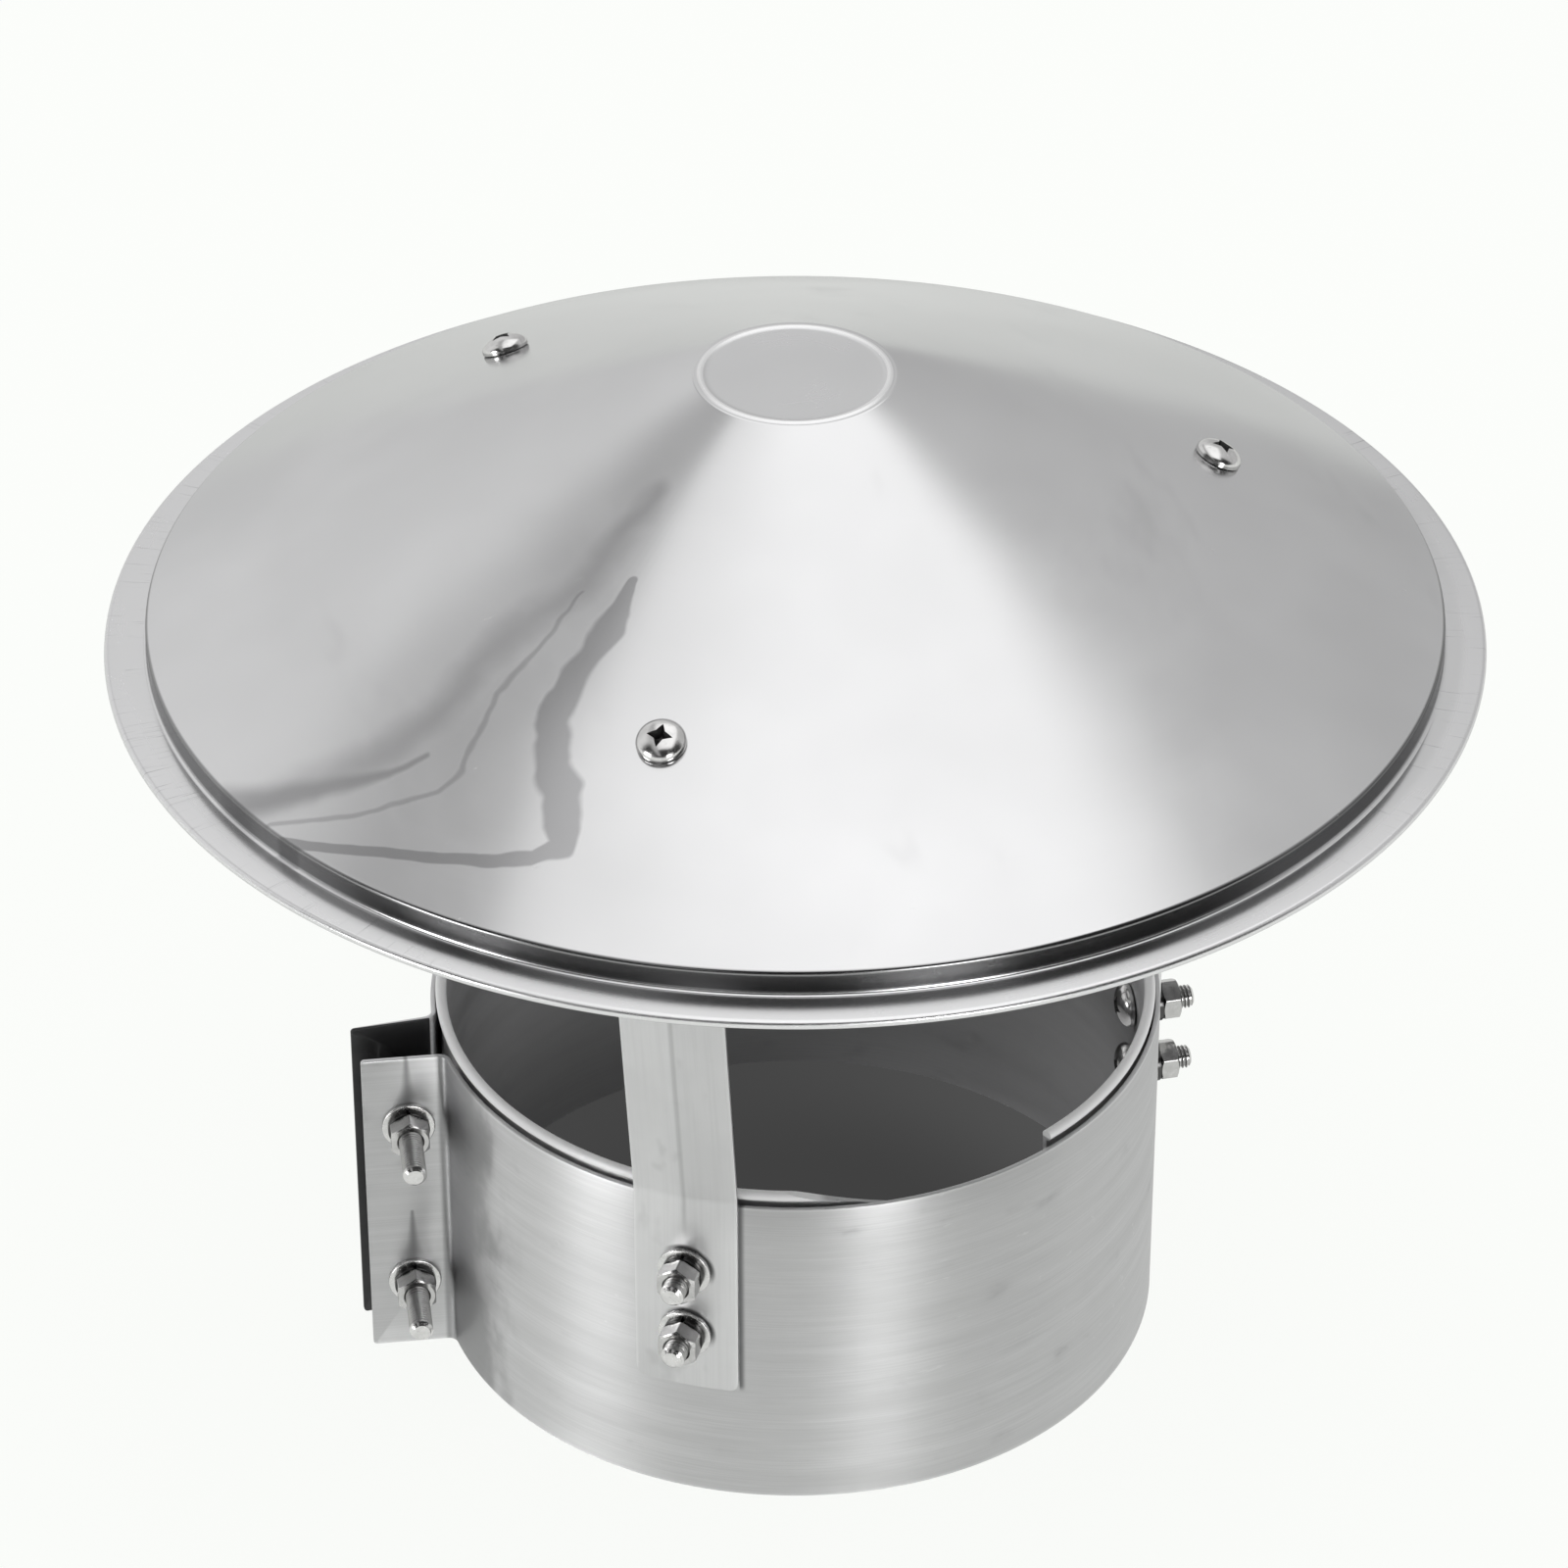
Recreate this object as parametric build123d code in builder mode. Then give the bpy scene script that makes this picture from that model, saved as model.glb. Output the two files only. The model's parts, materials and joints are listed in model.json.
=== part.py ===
from build123d import *
import os
from math import atan2, cos, hypot, pi, radians, sin, sqrt, tan

# Anti-downdraught cowl for a round flue, in millimetres. +Z is up, and the origin lies on
# the axis in the plane of the collar's lower edge. The clamp's lugs point to -X.

# SNUG is the gap between faces that touch, and CUT_PAST how far a cutter runs past a face
SNUG = 0.05
CUT_PAST = 10.0

# Flue pipe and collar
FLUE_DIAMETER = 150.0
COLLAR_HEIGHT = 75.0
LINER_SHEET = 1.0
BAND_SHEET = 1.0

# Liner ring: a straight socket for the pipe, then a wall that draws in to a rolled edge
PIPE_BELOW_HEADS = 4.0
LINER_DRAW_IN = 1.3
ROLL_RADIUS = 1.15
ROLL_SIDES = 6
ROLL_ABOVE_BAND = 0.4
LINER_GAP_START = -87.0
LINER_GAP_END = -60.0
LINER_SLANT_LENGTH = 24.0
LINER_SLANT_DROP = 2.4

# Clamp lugs
LUG_GAP = 13.0
LUG_CORNER = 1.5
LUG_FOLD = 2.0
LUG_BEYOND_BOLT = 9.4
NEAR_LUG_TOE_IN = 6.0
FAR_LUG_TOE_IN = 2.0
CLAMP_BOLT_INSET = 17.0
CLAMP_WASHER_CLEAR = 0.4
CLAMP_BOLT_TIP = 18.5

# Cap
CAP_DIAMETER = 280.0
CAP_SHEET = 0.8
CAP_HEIGHT = 224.7
APEX_RADIUS = 20.3
BEAD_WIDTH = 1.4
BEAD_PROUD = 0.3
BEAD_FLANK = 45.0
FLANGE_WIDTH = 8.6
FLANGE_HEIGHT = 167.6
STEP_HEIGHT = 5.1
STEP_BEVEL = 1.5
HEM_WIDTH = 4.0
HEM_THICKNESS = 2.0

# Legs
LEG_AZIMUTHS = {"right": 0.0, "back": 120.0, "front": 240.0}
LEG_SHEET = 1.0
LEG_WIDTH = 22.0
LEG_CORNER = 2.5
LEG_TOP_RADIUS = 95.0
LEG_KINK_ABOVE_COLLAR = 1.5
LEG_KINK_RADIUS = 9.0
LEG_FOLD_RADIUS = 2.5
TAB_BEYOND_SCREW = 8.8
TAB_CORNER = 4.0
LEG_BOLT_INSET = 17.0
LEG_BOLT_SPACING = 16.1
LEG_BELOW_BOLTS = 13.9
LEG_BOLT_TIP = 9.6

# Cap screws
TAB_WASHER_CLEAR = 0.1
CAP_SCREW_TIP = 11.5

# M5 fasteners
THREAD_RADIUS = 2.5
HOLE_CLEARANCE = 0.25
HEAD_RADIUS = 4.9
HEAD_HEIGHT = 3.2
NUT_ACROSS_FLATS = 8.0
NUT_HEIGHT = 4.0
WASHER_RADIUS = 5.6
WASHER_CLEARANCE = 0.15
WASHER_SHEET = 1.0
SPRING_WASHER_RADIUS = 4.4
SPRING_WASHER_CLEARANCE = 0.1
SPRING_WASHER_SHEET = 1.2
SPRING_WASHER_SLIT = 0.7
SPRING_WASHER_LEAN = 25.0

# Worked out from the sizes above
BORE_RADIUS = FLUE_DIAMETER / 2
BAND_INNER_RADIUS = BORE_RADIUS + LINER_SHEET + SNUG
BAND_OUTER_RADIUS = BAND_INNER_RADIUS + BAND_SHEET
LEG_INNER_RADIUS = BAND_OUTER_RADIUS + SNUG
LEG_OUTER_RADIUS = LEG_INNER_RADIUS + LEG_SHEET
HOLE_RADIUS = THREAD_RADIUS + HOLE_CLEARANCE
CLAMP_BOLT_HEIGHTS = {"lower": CLAMP_BOLT_INSET, "upper": COLLAR_HEIGHT - CLAMP_BOLT_INSET}
CLAMP_BOLT_REACH = BAND_SHEET + LUG_FOLD + CLAMP_WASHER_CLEAR + WASHER_RADIUS
LUG_REACH = CLAMP_BOLT_REACH + LUG_BEYOND_BOLT
UPPER_LEG_BOLT = COLLAR_HEIGHT - LEG_BOLT_INSET
LOWER_LEG_BOLT = UPPER_LEG_BOLT - LEG_BOLT_SPACING
LEG_BOLT_HEIGHTS = {"lower": LOWER_LEG_BOLT, "upper": UPPER_LEG_BOLT}
LEG_FOOT_HEIGHT = LOWER_LEG_BOLT - LEG_BELOW_BOLTS
SOCKET_DEPTH = LOWER_LEG_BOLT - HEAD_RADIUS - PIPE_BELOW_HEADS
ROLL_CORNER = ROLL_RADIUS / cos(pi / ROLL_SIDES)
ROLL_HEIGHT = COLLAR_HEIGHT + ROLL_ABOVE_BAND + ROLL_CORNER
CAP_SCREW_RADIUS = LEG_TOP_RADIUS - LEG_SHEET - TAB_WASHER_CLEAR - WASHER_RADIUS
CAP_RADIUS = CAP_DIAMETER / 2
STEP_RADIUS = CAP_RADIUS - FLANGE_WIDTH
SHOULDER_HEIGHT = FLANGE_HEIGHT + STEP_HEIGHT
CONE_FALL = (CAP_HEIGHT - SHOULDER_HEIGHT) / (STEP_RADIUS - APEX_RADIUS)
CONE_SLOPE = atan2(CONE_FALL, 1)
NUT_STACK = WASHER_SHEET + SPRING_WASHER_SHEET + 3 * SNUG


def polar(radius, azimuth, height):
    """The point at this radius, azimuth in degrees and height."""
    return Vector(radius * cos(radians(azimuth)), radius * sin(radians(azimuth)), height)


def radial_plane(azimuth):
    """The upright plane through the axis: its x runs outwards and its y runs up."""
    outwards = polar(1, azimuth, 0)
    return Plane(origin=(0, 0, 0), x_dir=outwards, z_dir=outwards.cross(Vector(0, 0, 1)))


def facing_plane(azimuth):
    """The upright plane square to a radius: its x runs along the wall and its y runs up."""
    outwards = polar(1, azimuth, 0)
    return Plane(origin=(0, 0, 0), x_dir=Vector(0, 0, 1).cross(outwards), z_dir=outwards)


def cone_height(radius, depth=0.0):
    """The height of the cap's cone at this radius, at this depth under its outer face."""
    return CAP_HEIGHT - (radius - APEX_RADIUS) * CONE_FALL - depth / cos(CONE_SLOPE)


def cone_seat(azimuth, depth, outwards=True):
    """A plane parallel to the cone where a cap screw goes through it, at this depth."""
    on_face = polar(CAP_SCREW_RADIUS, azimuth, cone_height(CAP_SCREW_RADIUS))
    normal = polar(sin(CONE_SLOPE), azimuth, cos(CONE_SLOPE))
    along = Vector(0, 0, 1).cross(polar(1, azimuth, 0))
    return Plane(origin=on_face - normal * depth, x_dir=along, z_dir=normal if outwards else -normal)


def wall_seat(radius, azimuth, height, outwards=True):
    """An upright plane square to the radius through this point."""
    normal = polar(1, azimuth, 0)
    return Plane(
        origin=polar(radius, azimuth, height),
        x_dir=(0, 0, 1),
        z_dir=normal if outwards else -normal,
    )


def wall_sag(half_width, radius):
    """How far a wall of this radius falls away from a flat face at its edge."""
    return radius - sqrt(radius**2 - half_width**2)


def axial_plane(seat):
    """The plane through a seat's own axis: its x is the seat's x, its y the seat's normal."""
    return Plane(origin=seat.origin, x_dir=seat.x_dir, z_dir=-seat.y_dir)


def liner_radius(height):
    """The inner radius of the liner's wall at this height."""
    drawn = max(0.0, height - SOCKET_DEPTH) / (COLLAR_HEIGHT - SOCKET_DEPTH)
    return BORE_RADIUS - LINER_DRAW_IN * drawn


def headed_bolt(seat, length):
    """A low round head on the seat, with the shank the other way."""
    with BuildPart() as bolt:
        with BuildSketch(axial_plane(seat)):
            with BuildLine():
                Polyline(
                    (0, HEAD_HEIGHT),
                    (HEAD_RADIUS, HEAD_HEIGHT),
                    (HEAD_RADIUS, 0),
                    (THREAD_RADIUS, 0),
                    (THREAD_RADIUS, -length),
                    (0, -length),
                    close=True,
                )
            make_face()
        revolve(axis=Axis(seat.origin, seat.z_dir))
    return bolt.part


def flat_washer(seat):
    """A flat washer lying on the seat."""
    with BuildPart() as washer:
        with BuildSketch(seat):
            Circle(WASHER_RADIUS)
            Circle(THREAD_RADIUS + WASHER_CLEARANCE, mode=Mode.SUBTRACT)
        extrude(amount=WASHER_SHEET)
    return washer.part


def spring_washer(seat):
    """A split washer, pressed flat on the seat, with its slit cut on a lean."""
    shift = SPRING_WASHER_SHEET * tan(radians(SPRING_WASHER_LEAN))
    with BuildPart() as washer:
        with BuildSketch(seat):
            Circle(SPRING_WASHER_RADIUS)
            Circle(THREAD_RADIUS + SPRING_WASHER_CLEARANCE, mode=Mode.SUBTRACT)
        extrude(amount=SPRING_WASHER_SHEET)
        with BuildSketch(Plane(origin=seat.origin, x_dir=seat.y_dir, z_dir=seat.x_dir)):
            with BuildLine():
                Polyline(
                    (0, 0),
                    (SPRING_WASHER_SLIT, 0),
                    (SPRING_WASHER_SLIT - shift, SPRING_WASHER_SHEET),
                    (-shift, SPRING_WASHER_SHEET),
                    close=True,
                )
            make_face()
        extrude(amount=CUT_PAST, mode=Mode.SUBTRACT)
    return washer.part


def hex_nut(seat):
    """A hexagon nut on the seat."""
    with BuildPart() as nut:
        with BuildSketch(seat):
            RegularPolygon(NUT_ACROSS_FLATS / 2, 6, major_radius=False)
            Circle(THREAD_RADIUS + SNUG, mode=Mode.SUBTRACT)
        extrude(amount=NUT_HEIGHT)
    return nut.part


def nut_set(seat):
    """The flat washer, spring washer and nut that stand on a seat."""
    return {
        "washer": flat_washer(seat.offset(SNUG)),
        "spring_washer": spring_washer(seat.offset(WASHER_SHEET + 2 * SNUG)),
        "nut": hex_nut(seat.offset(NUT_STACK)),
    }


def make_cap():
    """The cap: one spun sheet from the apex disc down to the hemmed lip."""
    with BuildPart() as cap:
        with BuildSketch(Plane.XZ):
            with BuildLine():
                Polyline(
                    (0, CAP_HEIGHT),
                    (APEX_RADIUS, CAP_HEIGHT),
                    (STEP_RADIUS, SHOULDER_HEIGHT),
                    (STEP_RADIUS, FLANGE_HEIGHT),
                    (CAP_RADIUS - HEM_WIDTH / 2, FLANGE_HEIGHT),
                )
                step_corners = vertices().filter_by(lambda corner: abs(corner.X - STEP_RADIUS) < SNUG)
                chamfer(step_corners, STEP_BEVEL)
                offset(amount=CAP_SHEET, side=Side.LEFT, kind=Kind.INTERSECTION)
            make_face()
            with Locations((CAP_RADIUS - HEM_WIDTH / 2, FLANGE_HEIGHT - HEM_THICKNESS / 2)):
                Rectangle(HEM_WIDTH, HEM_THICKNESS)
            with Locations((APEX_RADIUS - BEAD_WIDTH, CAP_HEIGHT + BEAD_PROUD / 2)):
                Trapezoid(BEAD_WIDTH, BEAD_PROUD, BEAD_FLANK)
        revolve(axis=Axis.Z)
        for azimuth in LEG_AZIMUTHS.values():
            with BuildSketch(cone_seat(azimuth, -CUT_PAST)):
                Circle(HOLE_RADIUS)
            extrude(amount=-2 * CUT_PAST, mode=Mode.SUBTRACT)
    return cap.part


def make_leg(azimuth):
    """A leg: a strap curved with the collar, leaning out to the cap, its tab folded in under it."""
    under = CAP_SHEET + SNUG
    tab_end = CAP_SCREW_RADIUS - TAB_BEYOND_SCREW
    kink = COLLAR_HEIGHT + LEG_KINK_ABOVE_COLLAR
    with BuildPart() as leg:
        with BuildSketch(radial_plane(azimuth)):
            with BuildLine():
                FilletPolyline(
                    (LEG_OUTER_RADIUS, LEG_FOOT_HEIGHT),
                    (LEG_OUTER_RADIUS, kink),
                    (LEG_TOP_RADIUS, cone_height(LEG_TOP_RADIUS, under)),
                    (tab_end, cone_height(tab_end, under)),
                    radius=[LEG_KINK_RADIUS, LEG_FOLD_RADIUS],
                )
                offset(amount=LEG_SHEET, side=Side.LEFT)
            make_face()
        revolve(axis=Axis.Z)
        with BuildSketch(facing_plane(azimuth)):
            with Locations((0, LEG_FOOT_HEIGHT + CAP_HEIGHT / 2)):
                RectangleRounded(LEG_WIDTH, CAP_HEIGHT, LEG_CORNER)
        extrude(amount=CAP_RADIUS, mode=Mode.INTERSECT)
        for height in LEG_BOLT_HEIGHTS.values():
            with BuildSketch(wall_seat(BORE_RADIUS, azimuth, height)):
                Circle(HOLE_RADIUS)
            extrude(amount=CUT_PAST, mode=Mode.SUBTRACT)
        with BuildSketch(cone_seat(azimuth, 0)):
            Circle(HOLE_RADIUS)
        extrude(amount=-CUT_PAST, mode=Mode.SUBTRACT)
        short_edges = leg.edges().filter_by(lambda edge: abs(edge.length - LEG_SHEET) < SNUG)
        fillet(short_edges.sort_by(Axis.Z)[-2:], radius=TAB_CORNER)
    return leg.part


def leg_bolt_drills():
    """The six cylinders that cut the leg bolts' holes through the collar's sheets."""
    with BuildPart() as drills:
        for azimuth in LEG_AZIMUTHS.values():
            for height in LEG_BOLT_HEIGHTS.values():
                with BuildSketch(wall_seat(BORE_RADIUS - CUT_PAST, azimuth, height)):
                    Circle(HOLE_RADIUS)
                extrude(amount=2 * CUT_PAST)
    return drills.part


def make_liner():
    """The liner ring: a split sheet inside the band, with its top edge rolled outwards."""
    with BuildPart() as liner:
        with BuildSketch(Plane.XZ):
            with BuildLine():
                Polyline(
                    (BORE_RADIUS, 0),
                    (BORE_RADIUS, SOCKET_DEPTH),
                    (liner_radius(ROLL_HEIGHT), ROLL_HEIGHT),
                )
                offset(amount=LINER_SHEET, side=Side.RIGHT, kind=Kind.INTERSECTION)
            make_face()
            with Locations((liner_radius(ROLL_HEIGHT) + ROLL_RADIUS, ROLL_HEIGHT)):
                RegularPolygon(ROLL_CORNER, ROLL_SIDES, rotation=180 / ROLL_SIDES)
        revolve(axis=Axis.Z)
        with BuildSketch(Plane.XY):
            with BuildLine():
                Polyline(
                    (0, 0),
                    polar(CAP_RADIUS, LINER_GAP_START, 0),
                    polar(CAP_RADIUS, (LINER_GAP_START + LINER_GAP_END) / 2, 0),
                    polar(CAP_RADIUS, LINER_GAP_END, 0),
                    close=True,
                )
            make_face()
        extrude(amount=2 * COLLAR_HEIGHT, mode=Mode.SUBTRACT)
        with BuildSketch(facing_plane(LINER_GAP_START)):
            with BuildLine():
                Polyline(
                    (-LINER_SLANT_LENGTH, ROLL_HEIGHT + CUT_PAST),
                    (-LINER_SLANT_LENGTH, ROLL_HEIGHT + ROLL_CORNER),
                    (0, COLLAR_HEIGHT - LINER_SLANT_DROP),
                    (CUT_PAST, COLLAR_HEIGHT - LINER_SLANT_DROP),
                    (CUT_PAST, ROLL_HEIGHT + CUT_PAST),
                    close=True,
                )
            make_face()
        extrude(amount=CAP_RADIUS, mode=Mode.SUBTRACT)
        add(leg_bolt_drills(), mode=Mode.SUBTRACT)
    return liner.part


def lug_line(side, toe_in):
    """A lug's root on the band's inner face, the way it runs out and the way it faces."""
    half_gap = LUG_GAP / 2
    root = Vector(-sqrt(BAND_INNER_RADIUS**2 - half_gap**2), side * half_gap, 0)
    lean = radians(toe_in)
    run = Vector(-cos(lean), -side * sin(lean), 0)
    face = Vector(-sin(lean), side * cos(lean), 0)
    return root, run, face


NEAR_ROOT, NEAR_RUN, NEAR_FACE = lug_line(-1, NEAR_LUG_TOE_IN)
FAR_ROOT, FAR_RUN, FAR_FACE = lug_line(1, FAR_LUG_TOE_IN)


def clamp_nut_seat(height):
    """Where a clamp bolt comes out of the near lug, square to that lug."""
    origin = NEAR_ROOT + NEAR_RUN * CLAMP_BOLT_REACH + NEAR_FACE * BAND_SHEET + Vector(0, 0, height)
    return Plane(origin=origin, x_dir=(0, 0, 1), z_dir=NEAR_FACE)


def clamp_head_seat(height):
    """Where a clamp bolt's head washer clears the far lug, which leans to the bolt, and its fold."""
    near = clamp_nut_seat(height).origin
    off_square = radians(NEAR_LUG_TOE_IN + FAR_LUG_TOE_IN)
    depth = (BAND_SHEET - (near - FAR_ROOT).dot(FAR_FACE)) / cos(off_square)
    reach = (near - NEAR_FACE * depth - FAR_ROOT).dot(FAR_RUN)
    over_fold = min(LUG_FOLD, max(0.0, BAND_SHEET + LUG_FOLD + WASHER_RADIUS - reach))
    clear = WASHER_RADIUS * tan(off_square) + wall_sag(over_fold, LUG_FOLD) + SNUG
    return Plane(origin=near - NEAR_FACE * (depth + clear), x_dir=(0, 0, 1), z_dir=-NEAR_FACE)


def make_band():
    """The clamp band: one sheet round the liner, with its two ends bent out as lugs."""
    near_tip = NEAR_ROOT + NEAR_RUN * LUG_REACH
    far_tip = FAR_ROOT + FAR_RUN * LUG_REACH
    with BuildPart() as band:
        with BuildSketch(Plane.XY):
            with BuildLine():
                Line(near_tip, NEAR_ROOT)
                ThreePointArc(NEAR_ROOT, (BAND_INNER_RADIUS, 0), FAR_ROOT)
                Line(FAR_ROOT, far_tip)
                roots = vertices().filter_by(lambda end: hypot(end.X, end.Y) < BAND_OUTER_RADIUS)
                fillet(roots, LUG_FOLD + BAND_SHEET)
                offset(amount=BAND_SHEET, side=Side.RIGHT)
            make_face()
        extrude(amount=COLLAR_HEIGHT)
        lug_ends = band.edges().filter_by(lambda edge: abs(edge.length - BAND_SHEET) < SNUG)
        fillet(lug_ends.sort_by(Axis.X)[:4], radius=LUG_CORNER)
        for height in CLAMP_BOLT_HEIGHTS.values():
            with BuildSketch(clamp_nut_seat(height).offset(CUT_PAST)):
                Circle(HOLE_RADIUS)
            extrude(amount=-(LUG_GAP + 2 * CUT_PAST), mode=Mode.SUBTRACT)
        add(leg_bolt_drills(), mode=Mode.SUBTRACT)
    return band.part


def make_clamp_bolt(height):
    """A clamp bolt with the washer under its head, its nut set on the near lug."""
    washer_seat = clamp_head_seat(height)
    head_seat = washer_seat.offset(WASHER_SHEET + SNUG)
    nut_seat = clamp_nut_seat(height)
    length = (head_seat.origin - nut_seat.origin).length + CLAMP_BOLT_TIP
    return {
        "bolt": headed_bolt(head_seat, length),
        "head_washer": flat_washer(washer_seat),
        **nut_set(nut_seat),
    }


def make_leg_bolt(azimuth, height):
    """A leg bolt, its head in the liner and its nut set outside the leg."""
    wall = liner_radius(height + HEAD_RADIUS)
    head_radius = wall - wall_sag(HEAD_RADIUS, wall) - SNUG
    length = LEG_OUTER_RADIUS + LEG_BOLT_TIP - head_radius
    return {
        "bolt": headed_bolt(wall_seat(head_radius, azimuth, height, outwards=False), length),
        **nut_set(wall_seat(LEG_OUTER_RADIUS, azimuth, height)),
    }


def make_cap_screw(azimuth):
    """A cap screw, its head on the cone and its nut set under the leg's tab."""
    curve = CAP_SCREW_RADIUS / sin(CONE_SLOPE)
    under_tab = CAP_SHEET + SNUG + LEG_SHEET + wall_sag(WASHER_RADIUS, curve)
    return {
        "screw": headed_bolt(cone_seat(azimuth, -SNUG), CAP_SCREW_TIP + SNUG),
        **nut_set(cone_seat(azimuth, under_tab, outwards=False)),
    }


pieces = {"cap": make_cap(), "clamp_band": make_band(), "liner_ring": make_liner()}
for side, azimuth in LEG_AZIMUTHS.items():
    pieces[f"leg_{side}"] = make_leg(azimuth)
    for kind, piece in make_cap_screw(azimuth).items():
        pieces[f"cap_{kind}_{side}"] = piece
    for row, height in LEG_BOLT_HEIGHTS.items():
        for kind, piece in make_leg_bolt(azimuth, height).items():
            pieces[f"leg_{kind}_{side}_{row}"] = piece
for row, height in CLAMP_BOLT_HEIGHTS.items():
    for kind, piece in make_clamp_bolt(height).items():
        pieces[f"clamp_{kind}_{row}"] = piece

os.makedirs("parts", exist_ok=True)
for name, piece in pieces.items():
    piece.label = name
    export_step(piece, f"parts/{name}.step")
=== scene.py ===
import json
from math import atan2, ceil, cos, degrees, hypot, pi, radians, sin, sqrt, tan

import bmesh
import bpy
from bpy.props import FloatProperty, FloatVectorProperty, PointerProperty
from mathutils import Matrix, Vector


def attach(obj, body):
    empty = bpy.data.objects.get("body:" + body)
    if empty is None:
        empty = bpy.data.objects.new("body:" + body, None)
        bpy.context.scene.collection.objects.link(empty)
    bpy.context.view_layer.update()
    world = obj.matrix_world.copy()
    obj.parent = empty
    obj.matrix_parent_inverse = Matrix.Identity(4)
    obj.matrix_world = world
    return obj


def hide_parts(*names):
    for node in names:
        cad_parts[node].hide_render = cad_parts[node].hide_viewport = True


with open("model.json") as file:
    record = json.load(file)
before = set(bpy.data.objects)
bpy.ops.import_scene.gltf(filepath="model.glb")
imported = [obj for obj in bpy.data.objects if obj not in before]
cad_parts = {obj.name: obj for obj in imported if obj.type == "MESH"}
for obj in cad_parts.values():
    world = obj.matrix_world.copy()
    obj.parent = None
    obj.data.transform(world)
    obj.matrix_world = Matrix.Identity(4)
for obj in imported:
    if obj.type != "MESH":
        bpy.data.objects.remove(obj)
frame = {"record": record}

bl_info = {
    "name": "Rain Cowl",
    "version": (1, 0, 0),
    "blender": (4, 5, 0),
    "location": "3D View > Sidebar > Cowl",
    "description": "Builds a spun steel rain cowl with its legs, clamp collar and fasteners",
    "category": "Object",
}

MM = 0.001
SAME_PLACE = 0.01 * MM
WELD_REACH = 0.0005 * MM
DRILL_REACH = 12 * MM
LEG_DRILL_REACH = 8 * MM
CLAMP_DRILL_REACH = 36 * MM
EDGE_BREAK = 0.12 * MM
FULL_TURN = 2 * pi
# How many steps go round the cap, the band, the liner, a fold and a small turned piece
CAP_STEPS = 256
BAND_STEPS = 224
LINER_STEPS = 222
FOLD_STEPS = 8
ROUND_STEPS = 64
UP = Vector((0, 0, 1))
PAPER_WHITE = (0.985, 1.0, 0.975, 1.0)
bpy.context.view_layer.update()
BODY_OF = {
    node: body for body, nodes in frame["record"]["behaviour"]["bodies"].items() for node in nodes
}
LEG_AZIMUTHS = {"right": 0.0, "back": 120.0, "front": 240.0}

# The camera's place in the photograph, fitted to the brim, the apex disc and the collar's edges
PHOTO_TURN = radians(13.2)
CAMERA_PLACE = Vector((-1.559, -1096.1, 865.7)) * MM
CAMERA_PITCH = radians(33.994)
CAMERA_YAW = -0.0007
CAMERA_ROLL = -0.0016
CAMERA_LENS = 146.77

# The painted reflections on the cap, dark wavy lines placed as in the photograph: degrees from its front,
# radius and half width in mm
REFLECTION_BROAD = [
    (-32.6, 58.5, 1.6), (-32.0, 65.0, 2.9), (-32.0, 71.2, 3.5), (-32.1, 79.6, 4.0),
    (-31.7, 86.3, 3.9), (-30.2, 93.0, 4.0), (-28.2, 98.2, 4.3), (-25.9, 101.5, 4.6),
    (-24.4, 107.3, 4.1), (-22.9, 111.6, 3.1), (-25.4, 115.6, 1.9), (-30.0, 119.0, 1.5),
    (-35.6, 122.2, 1.3), (-41.2, 126.0, 1.3), (-45.4, 129.6, 1.2), (-49.0, 132.5, 1.2),
]
REFLECTION_THIN = [
    (-40.9, 64.0, 0.5), (-40.4, 74.7, 0.9), (-39.9, 88.4, 1.1), (-37.9, 99.0, 1.1),
    (-37.5, 104.1, 1.0), (-38.4, 109.8, 0.9), (-41.0, 114.7, 0.9), (-44.0, 120.0, 0.9),
    (-48.6, 127.3, 0.9), (-50.5, 130.5, 0.9),
]
REFLECTION_SOFT = [
    (-42.5, 40.0, 4.0), (-41.5, 53.9, 6.0), (-42.0, 63.5, 6.5), (-45.0, 74.0, 7.0),
    (-46.0, 86.0, 7.0), (-45.5, 98.0, 7.0), (-47.5, 110.0, 7.5), (-51.5, 122.0, 8.0),
    (-54.0, 131.0, 8.0),
]
REFLECTION_LOW = [
    (-57.0, 133.0, 5.0), (-54.0, 129.0, 5.6), (-51.0, 123.0, 4.6), (-48.0, 117.0, 3.2),
    (-44.3, 110.8, 1.8), (-42.0, 104.4, 1.0),
]
# The painted reflection above each clamp nut, a dark line up the lug: height over the bolt and half width in
# mm
NUT_REFLECTION = [(5, 3.4), (10, 1.6), (18, 0.6)]
# Each painted reflection with the softness of its edges and its strength
PAINTED_REFLECTIONS = [
    (REFLECTION_BROAD, 0.35, 0.6),
    (REFLECTION_THIN, 0.8, 0.38),
    (REFLECTION_SOFT, 1.0, 0.33),
    (REFLECTION_LOW, 0.9, 0.5),
]


def length(name, description, millimetres):
    """A size, given in millimetres and kept in metres."""
    return FloatProperty(
        name=name, description=description, default=millimetres * MM, min=0.0, precision=5, unit="LENGTH"
    )


def tilt(name, description, default):
    """An angle, given in degrees."""
    return FloatProperty(name=name, description=description, default=radians(default), unit="ROTATION")


def share(name, description, default):
    """A number from 0 to 1."""
    return FloatProperty(
        name=name, description=description, default=default, min=0.0, max=1.0, subtype="FACTOR"
    )


def colour(name, description, default):
    """A linear colour."""
    return FloatVectorProperty(
        name=name, description=description, default=(*default, 1.0), size=4, min=0.0, max=1.0, subtype="COLOR"
    )


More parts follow.
